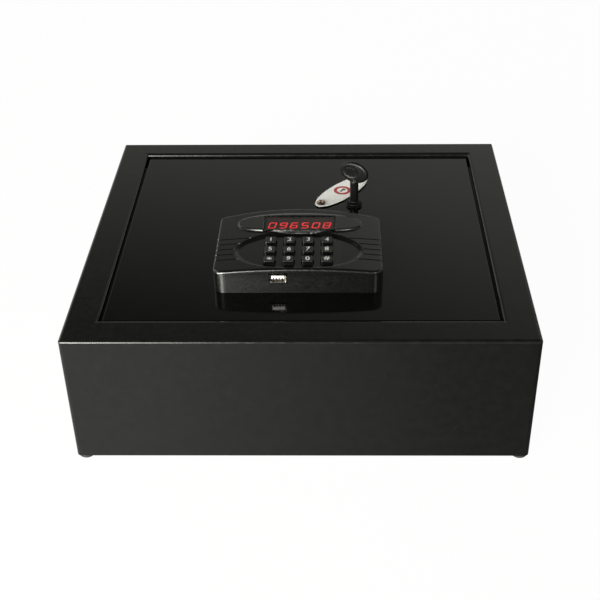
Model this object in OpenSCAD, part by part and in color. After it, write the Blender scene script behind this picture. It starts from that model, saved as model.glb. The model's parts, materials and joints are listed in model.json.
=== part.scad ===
// Top opening safe for a laptop: a folded steel case with a flush lid, a keypad console,
// an override key beside its swivelling keyhole cover, and a motor driven bolt under the lid.
// X runs to the right, the front is at minus Y, and the feet stand on z = 0.

/* [Case] */
// Outside width of the case
case_w = 400; // [380:1:460]
// Outside depth of the case
case_d = 360; // [350:1:420]
// Height of the case above its feet
case_h = 126; // [118:1:200]
// Thickness of the folded sheet
sheet = 2; // [1.5:0.1:2.4]
// Radius of the upright corners
corner_r = 4; // [2.5:0.5:8]
// Outer radius of the folds round the top
bend_r = 3; // [2.5:0.1:3.5]
// Width of each side rail
side_rail = 29; // [26:1:34]
// Width of the front rail
front_rail = 30; // [28:1:36]
// Width of the rear rail
rear_rail = 25.5; // [24:0.5:30]
// Depth of the lip folded down round the opening
lip_h = 7.5; // [7:0.5:8]
// Height of the corner feet
foot_h = 4; // [3:0.5:8]
// Radius of the corner feet
foot_r = 7; // [6:0.5:9]
// Distance from the feet to the outer faces
foot_inset = 0.6; // [0.3:0.1:4]
// Width of the flange folded in round the bottom
bottom_flange = 14; // [10:1:18]
// Thickness of the floor mat
mat_t = 2; // [1:0.5:4]

/* [Floor fixing] */
// Distance between the fixing holes across the width
fixing_x = 300; // [240:5:320]
// Distance between the fixing holes front to back
fixing_y = 240; // [200:5:270]
// Radius of the fixing holes
fixing_r = 5; // [3:0.5:7]
// Radius of the openings in the mat round them
mat_hole_r = 12; // [9:1:16]

/* [Lid] */
// Thickness of the lid plate
lid_t = 4; // [3:0.5:5]
// Depth of the lid's face below the rails
lid_drop = 2; // [1:0.5:3]
// Gap at each side of the lid
side_gap = 2; // [1.5:0.1:3]
// Gap in front of the lid
front_gap = 1.2; // [1:0.1:2]
// Gap behind the lid, where it swings down
rear_gap = 6.5; // [6.2:0.1:8]
// Radius of the lid's upper edges
lid_edge_r = 1.5; // [0.8:0.1:2]
// Width of the ledge that carries the lid
ledge_w = 12; // [10:1:14]
// Height of the rubber bumpers on the ledge
bumper_h = 1.2; // [1:0.1:1.6]
// Radius of the rubber bumpers
bumper_r = 4; // [3:0.5:5]

/* [Hinges] */
// Distance from the lid's rear edge to the hinge axis
hinge_back = 6; // [6:0.1:6.5]
// Distance from the lid's underside to the hinge axis
hinge_drop = 6; // [6:0.1:6.5]
// Distance from the middle to each hinge
hinge_x = 110; // [80:1:125]
// Radius of the hinge pins
pin_r = 3; // [2.5:0.1:3.2]
// Radius of the knuckles
knuckle_r = 5.5; // [5:0.1:5.6]
// Thickness of a lug or bracket
knuckle_w = 5; // [4:0.5:6]
// Wire radius of the hinge springs
spring_wire_r = 0.65; // [0.5:0.05:0.7]
// Coil radius of the hinge springs
spring_coil_r = 4.4; // [4.2:0.1:4.5]
// Turns of the hinge springs
spring_turns = 6; // [4:1:6]

/* [Console] */
// Distance of the console's middle from the lid's middle
console_x = -3.4; // [-20:0.1:10]
// Distance from the lid's front edge to the console
console_setback = 42.3; // [40:0.1:50]
// Width of the console
console_w = 149.4; // [146:0.2:160]
// Depth of the console at its sides
console_d = 96.5; // [94:0.5:104]
// Bow of the console's rear edge
console_bow = 10.5; // [6:0.5:14]
// Height of the console at its corners
console_h = 20; // [19:0.5:24]
// Rise of the console's crown over its corners
crown = 3.8; // [3:0.1:5]
// Wall of the console
console_wall = 2.2; // [1.8:0.1:2.5]
// Radius of the console's front corners
front_corner_r = 10; // [6:0.5:12]
// Radius of the console's rear corners
rear_corner_r = 5; // [4:0.5:8]
// Half the length of the keypad dish
dish_a = 57.5; // [54:0.5:62]
// Half the depth of the keypad dish
dish_b = 32.5; // [31:0.5:33]
// Depth of the dish below the crown
dish_drop = 2.2; // [1.5:0.1:2.5]
// Distance from the console's front to the middle of the dish
dish_y = 34.5; // [34:0.5:36]
// Half the length of the display boss
boss_a = 57.5; // [50:0.5:62]
// Half the depth of the display boss
boss_b = 17.5; // [16:0.5:18]
// Height of the display boss above the crown
boss_rise = 2.2; // [1:0.1:3]
// Distance from the console's front to the middle of the boss
boss_y = 81; // [80.5:0.5:82]
// Number of grooves at each side of the dish
groove_count = 5; // [3:1:6]
// Distance from groove to groove
groove_pitch = 8.6; // [7:0.1:9]
// Width of a groove
groove_w = 1.2; // [0.8:0.1:2]
// Depth of a groove
groove_depth = 0.7; // [0.4:0.1:1]
// Width of the display window
window_w = 66; // [62:1:70]
// Depth of the display window
window_d = 25; // [22:0.5:26]
// Thickness of the display window
window_t = 1.8; // [1.5:0.1:2.2]
// Thickness of the circuit board
board_t = 1.6; // [1.2:0.1:2]

/* [Keys] */
// Distance between the keys across the width
key_pitch_x = 16.8; // [16:0.1:17.5]
// Distance between the keys front to back
key_pitch_y = 16; // [15.5:0.1:16.5]
// Size of a key's cap
key_size = 10; // [9:0.1:11]
// Height of the caps above the floor of the dish
key_proud = 3.8; // [3:0.1:4.5]
// Travel of a key
key_travel = 1; // [0.6:0.1:1.2]
// Gap between a key and the cover
key_gap = 0.4; // [0.3:0.05:0.5]
// Distance from the console's front to the middle row
key_row_y = 32.8; // [32:0.1:34]

/* [USB socket] */
// Distance of the socket from the console's middle
usb_x = -17.2; // [-22:0.1:22]
// Width of the socket's shell
usb_w = 14.5; // [14:0.1:15]
// Height of the socket's shell
usb_h = 7.2; // [7:0.1:7.4]
// Length of the socket's shell
usb_len = 9; // [8.5:0.1:9.2]

/* [Override lock] */
// Distance of the lock from the lid's middle
lock_x = 48; // [46:0.5:60]
// Distance from the lid's front edge to the lock
lock_setback = 198.3; // [190:0.1:205]
// Radius of the lock barrel
barrel_r = 8; // [7.5:0.1:8.5]
// Length of the lock barrel
barrel_len = 24; // [22:0.5:24.5]
// Radius of the lock plug
plug_r = 5; // [4.5:0.1:5.5]
// Radius of the key's steel tube
key_tube_r = 3; // [2.5:0.1:3.2]
// Radius of the collar on the key
key_collar_r = 8; // [7:0.1:8.5]
// Height of the collar on the key
key_collar_h = 3.5; // [2.5:0.1:4]
// Radius of the key's shaft
key_shaft_r = 4.2; // [3.8:0.1:4.6]
// Length of the key's shaft
key_shaft_len = 22.5; // [20:0.5:30]
// Width of the key's bow
bow_w = 30; // [26:0.5:34]
// Height of the key's bow
bow_h = 22; // [20:0.5:28]
// Thickness of the key's bow
bow_t = 5; // [4:0.1:7]
// Angle that the bow is turned about the shaft
bow_turn = -28; // [-45:1:45]

/* [Keyhole cover] */
// Length of the keyhole cover
cover_len = 77.6; // [70:0.2:80]
// Width of the keyhole cover
cover_w = 26.2; // [24:0.2:28]
// Thickness of the keyhole cover
cover_t = 1.2; // [0.8:0.1:1.6]
// Height of the keyhole cover above the lid
cover_lift = 1; // [0.8:0.1:1.5]
// Angle of the keyhole cover from the line between pivot and lock
cover_swing = 48.7; // [44:0.1:80]
// Radius of the pivot's head
pivot_head_r = 4.3; // [3.4:0.1:5]
// Height of the pivot's head
pivot_head_h = 2.4; // [1.6:0.1:3]

/* [Bolt work] */
// Radius of the lock bolts
bolt_r = 7; // [6:0.1:7]
// Length of the lock bolts
bolt_len = 42; // [40:0.5:50]
// Distance of each bolt from the middle
bolt_x = 60; // [56:0.5:66]
// Travel of the lock bolts
bolt_travel = 11.78; // [9:0.01:11.78]
// Gear module of racks and pinions
gear_module = 1; // [0.9:0.01:1]
// Teeth of the pinion on the override lock
lock_teeth = 15; // [14:1:15]
// Teeth of the pinion on the motor
motor_teeth = 12; // [12:1:13]
// Play between the teeth
backlash = 0.12; // [0.1:0.01:0.2]
// Thickness of the carriage plate
carriage_t = 3; // [2.5:0.1:3]
// Distance from the lid's underside to the carriage plate
carriage_drop = 4; // [3.8:0.1:4.5]

/* [Mechanism cover] */
// Depth of the cover under the lid
tray_h = 28; // [28:0.5:34]
// Wall of the cover under the lid
tray_wall = 1.5; // [1.2:0.1:2]
// Gap between the cover's flanges and the ledge
tray_gap = 5; // [4:0.5:8]

/* [Battery compartment] */
// Radius of a battery cell
cell_r = 7.25; // [7:0.05:7.25]
// Length of a battery cell
cell_len = 50.5; // [49:0.5:52]
// Travel of the battery door
door_travel = 56; // [30:1:56]

/* [Hidden] */

// Gap at which neighbouring pieces are set without touching
seat = 0.3;
// Radial gap of a pin or rod that turns or slides in its bore
running = 0.06;
// Overshoot of a cut past the face that it opens
cut = 1;
$fn = 96;

case_top = foot_h + case_h;
floor_z = foot_h + sheet;
open_x = case_w / 2 - side_rail;
open_y0 = -case_d / 2 + front_rail;
open_y1 = case_d / 2 - rear_rail;
lip_z = case_top - lip_h;
mat_gap = 2;
foot_edge = 0.8;
bumper_in = 1;
bumper_front = 30;
bumper_back = 42;

lid_top = case_top - lid_drop;
lid_z = lid_top - lid_t;
lid_x = open_x - side_gap;
lid_y0 = open_y0 + front_gap;
lid_y1 = open_y1 - rear_gap;

hinge_y = lid_y1 - hinge_back;
hinge_z = lid_z - hinge_drop;

// The ledge is an angle: its upright leg stands behind the lip
ledge_top = lip_z;
ledge_in = open_x - ledge_w;
ledge_y0 = open_y0 + ledge_w;
ledge_y1 = hinge_y - 4;

// Along a hinge from its inner end: lug, bracket, spring and outer lug
bracket_x = knuckle_w + seat;
spring_x0 = bracket_x + knuckle_w + seat + spring_wire_r;
spring_pitch = 2 * spring_wire_r + 0.6;
spring_x1 = spring_x0 + spring_turns * spring_pitch;
outer_lug_x = spring_x1 + spring_wire_r + seat;
hinge_len = outer_lug_x + knuckle_w;

// A hinge bracket's arm and foot, below and beside the hinge axis
arm_top = -14;
arm_bottom = -21;
bracket_foot_z0 = -27;
bracket_foot_z1 = -5;
bracket_foot_w = 10;
bracket_foot_t = 2;
bracket_wall_y = case_d / 2 - sheet - hinge_y;
pin_head_r = pin_r + 1.5;
pin_head_h = 1.5;
pin_clip_r = pin_r + 1.4;
press = 0.02;

// The console sits on the lid and is drawn from its own front edge
con_y0 = lid_y0 + console_setback;
con_hw = console_w / 2;
corner_z = lid_top + console_h;
crown_z = corner_z + crown;
crown_r = (con_hw * con_hw + crown * crown) / (2 * crown);
bow_r = (con_hw * con_hw + console_bow * console_bow) / (2 * console_bow);
bow_cy = console_d + console_bow - bow_r;
dish_floor_z = crown_z - dish_drop;

// The dish's rim follows the crown, and its slope leans by so much for each millimetre of height
dish_slope = 4.2;
dish_lean = dish_slope / dish_drop;
dish_side_z = crown_z - dish_a * dish_a / (2 * crown_r);
dish_low_z = dish_side_z - dish_drop;
boss_lean = 1;
pan_z = dish_floor_z - 2;
key_top_z = dish_floor_z + key_proud;
key_flange_z = pan_z - seat;
key_flange_t = 1.2;
key_flange = key_size + 2.4;
key_corner_r = 1;
key_edge_r = 0.7;
board_top = lid_top + 11.4;
board_z = board_top - board_t;
base_t = 2;
base_z = lid_top + base_t;
pillar_r = 3.5;
screw_r = 1.5;
screw_hole_r = screw_r + 0.2;
screw_head_r = 3;
screw_head_h = 2.2;
window_z = crown_z + 1;
window_ledge = 2;
window_cy = 78.3;
usb_cz = board_top + usb_h / 2;
usb_proud = 0.5;
usb_shell = 0.5;
usb_play = 0.7;
usb_tongue_w = 11.2;
boss_power = 2.7;
window_play = 0.1;
board_side = 4.5;
board_y0 = 6.5;
board_y1 = 90;
display_half = [30, 9.5];
dome_r0 = 5;
dome_r1 = 3.2;
mat_base_t = 1.4;
mat_side = 9;
mat_front = 7.5;
mat_back = 8.5;

// Places of the keys, from the console's middle and front edge
key_cols = [for (i = [0:3]) (i - 1.5) * key_pitch_x];
key_rows = [for (j = [0:2]) key_row_y + (1 - j) * key_pitch_y];

// Console screws, from the console's own middle and front edge
screw_xs = [-con_hw + 8, con_hw - 8];
screw_ys = [9, 84];

lock_y = lid_y0 + lock_setback;
cover_eye = 6.1;
barrel_z = lid_top - barrel_len;
pivot_d = cover_len / 2 - cover_eye;
pivot_x = lock_x - pivot_d;
pivot_y = lock_y - 1.3;
cover_line = atan2(lock_y - pivot_y, lock_x - pivot_x);
cover_angle = cover_line + cover_swing;
pivot_r = 2;
pivot_washer_r = pivot_head_r + 0.4;
pivot_head_edge = 0.6;
pivot_recess_deep = 1.1;
pivot_recess_w = 1.1;
cover_z = lid_top + cover_lift;
lock_nut_r = 12;
lock_nut_h = 4;
plug_tail_r = 2.5;
plug_drop = 0.4;
plug_bore = 12;
key_tube_len = 11.5;
key_overlap = 1.5;

// The hollow in each face of the key's bow, and the ribs in it
bow_chamfer = 1;
bow_hollow = [8.6, 6.8];
bow_hollow_x = -3.4;
bow_hollow_t = 0.8;
bow_rib_w = 1.1;
bow_rib_h = 8;
bow_rib_pitch = 3;
bow_rib_sunk = 0.35;
thin = 0.01;

// Racks and pinions share stub teeth with a pressure angle of 25 degrees
pressure = 25;
addendum = 0.8 * gear_module;
dedendum = 1.1 * gear_module;
lock_pitch_r = gear_module * lock_teeth / 2;
motor_pitch_r = gear_module * motor_teeth / 2;

carriage_z1 = lid_z - carriage_drop;
carriage_z0 = carriage_z1 - carriage_t;
strip_x0 = -20 + dedendum;
strip_x1 = 34;
motor_x = -20 - motor_pitch_r;
motor_setback = 106.5;
motor_y = con_y0 + motor_setback;
lock_rack_x = lock_x - lock_pitch_r;

bolt_z = lid_z - 12;
bolt_tip_y = ledge_y0 + 1;
bolt_end_y = bolt_tip_y + bolt_len;
bushing_y0 = bolt_tip_y + 9;
bushing_len = 16;
bushing_side = 3;
bushing_base = 2;
flange_t = 4;
flange_side = 5;
spigot_r = 2.5;
nut_r = 4.62;
nut_h = 4;
carriage_y1 = lock_y + 28.5;

// Guide posts, their heads, and the slots that run over them
guide_r = 3;
guide_head_r = guide_r + 3;
guide_head_h = 1.5;
guide_play = 0.15;
guide_places = [[-8, bolt_end_y + 32], [24, bolt_end_y + 32], [8, lock_y + 10]];

tray_z = lid_z - tray_h;
tray_y0 = bolt_tip_y + 7;
tray_y1 = hinge_y - 16;
tray_in_z = tray_z + tray_wall;
tray_flange = 8;
tray_x = ledge_in - tray_gap - tray_flange;
tray_screw_in = 20;
tray_screw_head_r = 2.8;
tray_screw_head_h = 1.6;
bolt_hole_r = bolt_r + 0.6;

pinion_z0 = carriage_z0 - 1;
pinion_z1 = carriage_z1 + 1;
lock_pinion_z1 = barrel_z - 1;
lock_pinion_z0 = lock_pinion_z1 - 4;
rack_bar_z0 = lock_pinion_z0 + 0.5;
rack_bar_z1 = lock_pinion_z1 - 0.5;

motor_bracket_z1 = pinion_z0 - 0.5;
motor_bracket_t = 2;
motor_bracket_half = 14;
motor_bracket_leg = 20;
motor_bracket_foot = 12;
motor_shaft_r = 2;
motor_shaft_len = 8;
motor_cap_r = 3;
motor_cap_h = 1.5;
housing_z1 = motor_bracket_z1 - motor_bracket_t;
housing_half = 12;
housing_z0 = tray_in_z + 1;
motor_r = (housing_z1 - housing_z0) / 2;
motor_z = (housing_z1 + housing_z0) / 2;
motor_len = 32;
motor_rear_x = motor_x - housing_half - motor_len;

cell_pitch = 2 * cell_r + 0.7;
holder_side = 41;
holder_back = 40.8;
holder_x = -tray_x + holder_side;
holder_wall = 1.5;
holder_w = 4 * cell_pitch + 2 * holder_wall + 0.6;
holder_len = cell_len + 2 * holder_wall + 1.5;
holder_y0 = tray_y1 - holder_back - holder_len;
holder_h = 2 * cell_r + holder_wall + 1;
door_w = holder_w + 1;
door_len = holder_len + 4;
door_t = 1.5;
door_z = tray_z - seat - door_t;
door_play = 0.4;
door_rib_h = 0.8;
track_w = 3;
track_lip = 1.8;
battery_rim = 2;
cell_end = 0.2;
cell_cap_h = 1.2;
cell_cap_r = 2.7;
reset_x = tray_x - 46;
reset_y = lock_y + 10.5;
reset_r = 4;
reset_travel = 1.5;
reset_proud = 1.5;
reset_depth = 8;
reset_half = 8;
reset_h = 11;
limit_x0 = -2;
limit_w = 20;
limit_d = 9;
limit_h = 10;
limit_gap = 1.6;
limit_pin_r = 1.4;
limit_pin_len = 1.2;

cable_x = lock_x;
cable_y = con_y0 + 44.5;
cable_hole_r = 7;
grommet_wall = 2.4;
grommet_rim = 2;
console_cable_r = 1.5;
battery_cable_r = 1.2;
cable_lead = 8;

// Routes of the two cables, from their own starting points
console_route = [[0, 0, 0], [0, 0, -6], [0, 0, -12], [0, 0, -18], [0, 0, -23], [-1, 1, -27],
    [-4, 4, -31], [-10, 8, -33.5], [-20, 12, -35], [-34, 15, -35], [-50, 18, -35], [-66, 22, -35],
    [-82, 28, -35], [-98, 36, -35], [-112, 43, -34.5], [-121, 47, -33.5], [-128, 51, -32.8],
    [-131, 55, -32.5], [-130, 57.2, -32.5]];
battery_route = [[0, 0, 0], [0, -6, 0], [0, -12, 0], [2, -18, 0], [6, -23, 0], [12, -25.5, 0],
    [18, -26, 0]];

// Points on an arc, on an ellipse, and on a tooth flank
function arc(cx, cy, r, a0, a1, n) =
    [for (i = [0:n]) [cx + r * cos(a0 + (a1 - a0) * i / n), cy + r * sin(a0 + (a1 - a0) * i / n)]];
function oval(a, b, n) = [for (i = [0:n - 1]) [a * cos(360 * i / n), b * sin(360 * i / n)]];

// An oval with fuller flanks, as the display boss has
function signed_power(v, p) = sign(v) * pow(abs(v), p);
function full_oval(a, b, n) = [for (i = [0:n - 1])
    [a * signed_power(cos(360 * i / n), 2 / boss_power), b * signed_power(sin(360 * i / n), 2 / boss_power)]];
function unroll(base_r, r) =
    let (t = sqrt(max(0, r * r / (base_r * base_r) - 1))) t * 180 / PI - atan(t);

// Outline of the console, drawn in by the given distance
function console_outline(inset) =
    let (hw = con_hw - inset, rf = front_corner_r - inset, rr = rear_corner_r - inset)
    let (big = bow_r - inset, fx = hw - rr)
    let (fy = bow_cy + sqrt((big - rr) * (big - rr) - fx * fx))
    let (turn = atan2(fy - bow_cy, fx))
    concat(arc(hw - rf, inset + rf, rf, -90, 0, 8), arc(fx, fy, rr, 0, turn, 5),
        arc(0, bow_cy, big, turn, 180 - turn, 28), arc(-fx, fy, rr, 180 - turn, 180, 5),
        arc(-hw + rf, inset + rf, rf, 180, 270, 8));

// Half the angle that a pinion's tooth fills at its pitch circle
function tooth_half(teeth) = 90 / teeth - backlash / (gear_module * teeth) * 180 / PI / 2;
function flank(teeth, side) =
    let (pr = gear_module * teeth / 2, br = pr * cos(pressure), tip = pr + addendum)
    let (root = pr - dedendum, half = tooth_half(teeth) + unroll(br, pr))
    let (radii = [root, br, br + (tip - br) * 0.35, br + (tip - br) * 0.7, tip])
    [for (r = radii) [r, side * (half - unroll(br, max(r, br)))]];
function pinion_outline(teeth) =
    [for (k = [0:teeth - 1]) for (side = [-1, 1])
        let (points = flank(teeth, side))
        for (j = [0:4])
            let (p = points[side < 0 ? j : 4 - j], a = 360 * k / teeth + p[1])
            [p[0] * cos(a), p[0] * sin(a)]];

// Outline of a straight rack along Y with its teeth towards +X and its pitch line on x = 0
function rack_outline(first, last, back) =
    let (pitch = PI * gear_module, slope = tan(pressure), half = pitch / 4 - backlash / 2)
    concat([[-back, (first - 0.5) * pitch]],
        [for (k = [first:last]) for (step = [0:3])
            let (x = step == 1 || step == 2 ? addendum : -dedendum)
            let (reach = half - x * slope)
            [x, k * pitch + (step < 2 ? -reach : reach)]],
        [[-back, (last + 0.5) * pitch]]);

// Rings of points swept along a path, for springs and cables
function unit(v) = v / norm(v);
function heading(path, i) =
    unit(path[min(i + 1, len(path) - 1)] - path[max(i - 1, 0)]);
function ring(centre, along, ref, r, sides) =
    let (u = unit(ref - (ref * along) * along), v = cross(along, u))
    [for (k = [0:sides - 1]) centre + r * cos(360 * k / sides) * u + r * sin(360 * k / sides) * v];

module tube(path, r, sides, ref) {
    rings = len(path);
    points = [for (i = [0:rings - 1]) each ring(path[i], heading(path, i), ref, r, sides)];
    walls = [for (i = [0:rings - 2]) for (k = [0:sides - 1])
        let (a = i * sides + k, b = i * sides + (k + 1) % sides)
        each [[a, a + sides, b], [b, a + sides, b + sides]]];
    first_cap = [for (k = [1:sides - 2]) [0, k, k + 1]];
    end = (rings - 1) * sides;
    last_cap = [for (k = [1:sides - 2]) [end, end + k + 1, end + k]];
    polyhedron(points, concat(walls, first_cap, last_cap));
}

// A block between two opposite corners
module block(x0, x1, y0, y1, z0, z1) {
    translate([x0, y0, z0]) cube([x1 - x0, y1 - y0, z1 - z0]);
}

// An upright round bar
module post(x, y, z0, z1, r) {
    translate([x, y, z0]) cylinder(h = z1 - z0, r = r);
}

// A round bar along X
module bar_x(x0, x1, y, z, r) {
    translate([x0, y, z]) rotate([0, 90, 0]) cylinder(h = x1 - x0, r = r);
}

// A round bar along Y
module bar_y(x, y0, y1, z, r) {
    translate([x, y0, z]) rotate([-90, 0, 0]) cylinder(h = y1 - y0, r = r);
}

// A rectangle about its middle with round corners
module rounded_rect(w, d, r) {
    square([w - 2 * r, d], center = true);
    square([w, d - 2 * r], center = true);
    for (sx = [-1, 1], sy = [-1, 1])
        translate([sx * (w / 2 - r), sy * (d / 2 - r)]) circle(r = r);
}

// A rectangle with only its upper corners round
module arched_rect(w, h, r) {
    translate([-w / 2, 0]) square([w, h - r]);
    translate([-w / 2 + r, 0]) square([w - 2 * r, h]);
    for (side = [-1, 1]) translate([side * (w / 2 - r), h - r]) circle(r = r);
}

// A slab with round upright corners and round upper edges, its middle at the origin
module soft_slab(w, d, h, plan_r, edge_r) {
    intersection() {
        linear_extrude(h) rounded_rect(w, d, plan_r);
        translate([0, d / 2, 0]) rotate([90, 0, 0]) linear_extrude(d) arched_rect(w, h, edge_r);
        translate([-w / 2, 0, 0]) rotate([90, 0, 90]) linear_extrude(w) arched_rect(d, h, edge_r);
    }
}

// Fold and lip along one side of the opening, with the opening towards +X
module lip_section() {
    translate([-bend_r, lip_h - bend_r]) intersection() {
        difference() {
            circle(r = bend_r);
            circle(r = bend_r - sheet);
        }
        square(bend_r + cut);
    }
    translate([-sheet, 0]) square([sheet, lip_h - bend_r]);
}

module lip(x, y, turn, length) {
    translate([x, y, lip_z]) rotate([0, 0, turn])
        rotate([90, 0, 0]) translate([0, 0, -length / 2]) linear_extrude(length) lip_section();
}

module case_shell() color([0.11, 0.11, 0.11]) {
    open_w = 2 * (open_x + bend_r);
    open_d = open_y1 - open_y0 + 2 * bend_r;
    open_cy = (open_y0 + open_y1) / 2;
    difference() {
        translate([0, 0, foot_h]) soft_slab(case_w, case_d, case_h, corner_r, bend_r);
        translate([0, 0, floor_z]) linear_extrude(case_h - 2 * sheet)
            rounded_rect(case_w - 2 * sheet, case_d - 2 * sheet, corner_r - sheet);
        translate([0, open_cy, case_top - sheet - cut])
            linear_extrude(sheet + 2 * cut) square([open_w, open_d], center = true);
        translate([0, 0, foot_h - cut]) linear_extrude(sheet + 2 * cut)
            square([case_w - 2 * bottom_flange, case_d - 2 * bottom_flange], center = true);
    }
    lip(-open_x, open_cy, 0, open_d);
    lip(open_x, open_cy, 180, open_d);
    lip(0, open_y0, 90, open_w);
    lip(0, open_y1, -90, open_w);
}

module floor_plate() color([0.13, 0.13, 0.13]) difference() {
    translate([0, 0, floor_z]) linear_extrude(sheet)
        rounded_rect(case_w - 2 * sheet - seat, case_d - 2 * sheet - seat, corner_r - sheet);
    for (sx = [-1, 1], sy = [-1, 1])
        post(sx * fixing_x / 2, sy * fixing_y / 2, floor_z - cut, floor_z + sheet + cut, fixing_r);
}

module rest_ledge() color([0.1, 0.1, 0.1]) {
    back = sheet + sheet;
    for (side = [-1, 1]) {
        x0 = side < 0 ? -open_x - back : ledge_in;
        x1 = side < 0 ? -ledge_in : open_x + back;
        block(x0, x1, open_y0 - back, ledge_y1, ledge_top - sheet, ledge_top);
        u0 = side < 0 ? -open_x - back : open_x + sheet;
        block(u0, u0 + sheet, open_y0, ledge_y1, ledge_top, case_top - bend_r);
    }
    block(-open_x - back, open_x + back, open_y0 - back, ledge_y0, ledge_top - sheet, ledge_top);
    block(-open_x, open_x, open_y0 - back, open_y0 - sheet, ledge_top, case_top - bend_r);
}

module lid_bumpers() color([0.05, 0.05, 0.05]) {
    for (sx = [-1, 1], y = [lid_y0 + bumper_front, hinge_y - bumper_back])
        post(sx * (ledge_in + ledge_w / 2 - bumper_in), y, ledge_top, ledge_top + bumper_h, bumper_r);
}

module corner_feet() color([0.06, 0.06, 0.06]) {
    fx = case_w / 2 - foot_inset - foot_r;
    fy = case_d / 2 - foot_inset - foot_r;
    for (sx = [-1, 1], sy = [-1, 1])
        translate([sx * fx, sy * fy, 0]) rotate_extrude()
            polygon([[0, 0], [foot_r - foot_edge, 0], [foot_r, foot_edge], [foot_r, foot_h], [0, foot_h]]);
}

module floor_mat() color([0.16, 0.16, 0.17]) difference() {
    translate([0, 0, floor_z + sheet]) linear_extrude(mat_t)
        rounded_rect(case_w - 2 * sheet - 2 * mat_gap, case_d - 2 * sheet - 2 * mat_gap, 3);
    for (sx = [-1, 1], sy = [-1, 1])
        post(sx * fixing_x / 2, sy * fixing_y / 2, floor_z, floor_z + sheet + mat_t + cut, mat_hole_r);
}

// Places its children at both hinges, the right one mirrored
module at_hinges() {
    translate([hinge_x, hinge_y, hinge_z]) children();
    mirror([1, 0, 0]) translate([hinge_x, hinge_y, hinge_z]) children();
}

module bracket_profile() {
    front = -knuckle_r + 0.5;
    difference() {
        union() {
            circle(r = knuckle_r);
            polygon([[front, 0], [4, 0], [4, arm_top + 2], [8, arm_top], [bracket_wall_y, arm_top],
                [bracket_wall_y, arm_bottom], [-1, arm_bottom], [front, arm_bottom + 5]]);
        }
        circle(r = pin_r + press);
    }
}

module hinge_brackets() color([0.12, 0.12, 0.12]) at_hinges() {
    translate([bracket_x, 0, 0]) rotate([90, 0, 90]) linear_extrude(knuckle_w) bracket_profile();
    block(bracket_x - bracket_foot_w, bracket_x + knuckle_w + bracket_foot_w,
        bracket_wall_y - bracket_foot_t, bracket_wall_y, bracket_foot_z0, bracket_foot_z1);
}

module hinge_pins() color([0.72, 0.72, 0.72]) at_hinges() {
    bar_x(-seat, hinge_len + 2, 0, 0, pin_r);
    bar_x(-seat - pin_head_h, -seat, 0, 0, pin_head_r);
    bar_x(hinge_len + seat, hinge_len + 1.3, 0, 0, pin_clip_r);
}

// A torsion spring: a short leg up to the lid, the coil, and a long leg beside the bracket
function spring_path() =
    let (n = 12 * spring_turns, up = hinge_drop - spring_wire_r - seat)
    concat([[spring_x1, -spring_coil_r, up], [spring_x1, -spring_coil_r, up / 2]],
        [for (i = [0:n]) let (a = 180 + 30 * i)
            [spring_x1 - (spring_x1 - spring_x0) * i / n, spring_coil_r * cos(a), spring_coil_r * sin(a)]],
        [[spring_x0, -spring_coil_r, -6], [spring_x0, -spring_coil_r, -14]]);

module hinge_springs() color([0.6, 0.6, 0.62]) at_hinges()
    tube(spring_path(), spring_wire_r, 6, [1, 0, 0]);

module lid_plate() color([0.12, 0.12, 0.12]) {
    lid_cy = (lid_y0 + lid_y1) / 2;
    difference() {
        translate([0, lid_cy, lid_z]) soft_slab(2 * lid_x, lid_y1 - lid_y0, lid_t, 1.6, lid_edge_r);
        post(lock_x, lock_y, lid_z - cut, lid_top + cut, barrel_r + running);
        post(pivot_x, pivot_y, lid_z - cut, lid_top + cut, pivot_r + running);
        post(cable_x, cable_y, lid_z - cut, lid_top + cut, cable_hole_r);
        for (x = screw_xs, y = screw_ys)
            post(console_x + x, con_y0 + y, lid_z - cut, lid_top + cut, screw_hole_r);
    }
}

module hinge_lugs() color([0.12, 0.12, 0.12]) at_hinges() {
    for (x = [0, outer_lug_x]) difference() {
        union() {
            bar_x(x, x + knuckle_w, 0, 0, knuckle_r);
            block(x, x + knuckle_w, -12, knuckle_r, 1, hinge_drop);
        }
        bar_x(x - cut, x + knuckle_w + cut, 0, 0, pin_r + running);
    }
}

module mechanism_cover() color([0.1, 0.1, 0.1]) {
    opening_x = holder_w / 2 - battery_rim;
    difference() {
        union() {
            block(-tray_x, tray_x, tray_y0, tray_y1, tray_z, lid_z);
            block(-tray_x - tray_flange, tray_x + tray_flange, tray_y0, tray_y1, lid_z - tray_wall, lid_z);
        }
        block(-tray_x + tray_wall, tray_x - tray_wall, tray_y0 + tray_wall, tray_y1 - tray_wall,
            tray_in_z, lid_z + cut);
        for (sx = [-1, 1])
            bar_y(sx * bolt_x, tray_y0 - cut, tray_y0 + tray_wall + cut, bolt_z, bolt_hole_r);
        block(holder_x - opening_x, holder_x + opening_x, holder_y0 + battery_rim,
            holder_y0 + holder_len - battery_rim, tray_z - cut, tray_in_z + cut);
        post(reset_x, reset_y, tray_z - cut, tray_in_z + cut, reset_r + seat);
        for (p = cover_screw_places())
            post(p[0], p[1], lid_z - tray_wall - cut, lid_z + cut, screw_hole_r);
    }
    for (side = [-1, 1]) door_track(side);
}

// One of the two tracks that carry the battery door
module door_track(side) {
    web = holder_x + side * (door_w / 2 + door_play);
    x0 = side < 0 ? web - track_w : web;
    lip_x0 = side < 0 ? web - track_w : web - track_lip;
    y0 = holder_y0 - 5;
    y1 = holder_y0 + holder_len + 3;
    block(x0, x0 + track_w, y0, y1, door_z - seat, tray_z);
    block(lip_x0, lip_x0 + track_w + track_lip, y0, y1, door_z - seat - tray_wall, door_z - seat);
}

function cover_screw_places() =
    [for (side = [-1, 1], y = [tray_y0 + tray_screw_in, (tray_y0 + tray_y1) / 2, tray_y1 - tray_screw_in])
        [side * (tray_x + tray_flange / 2), y]];

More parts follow.
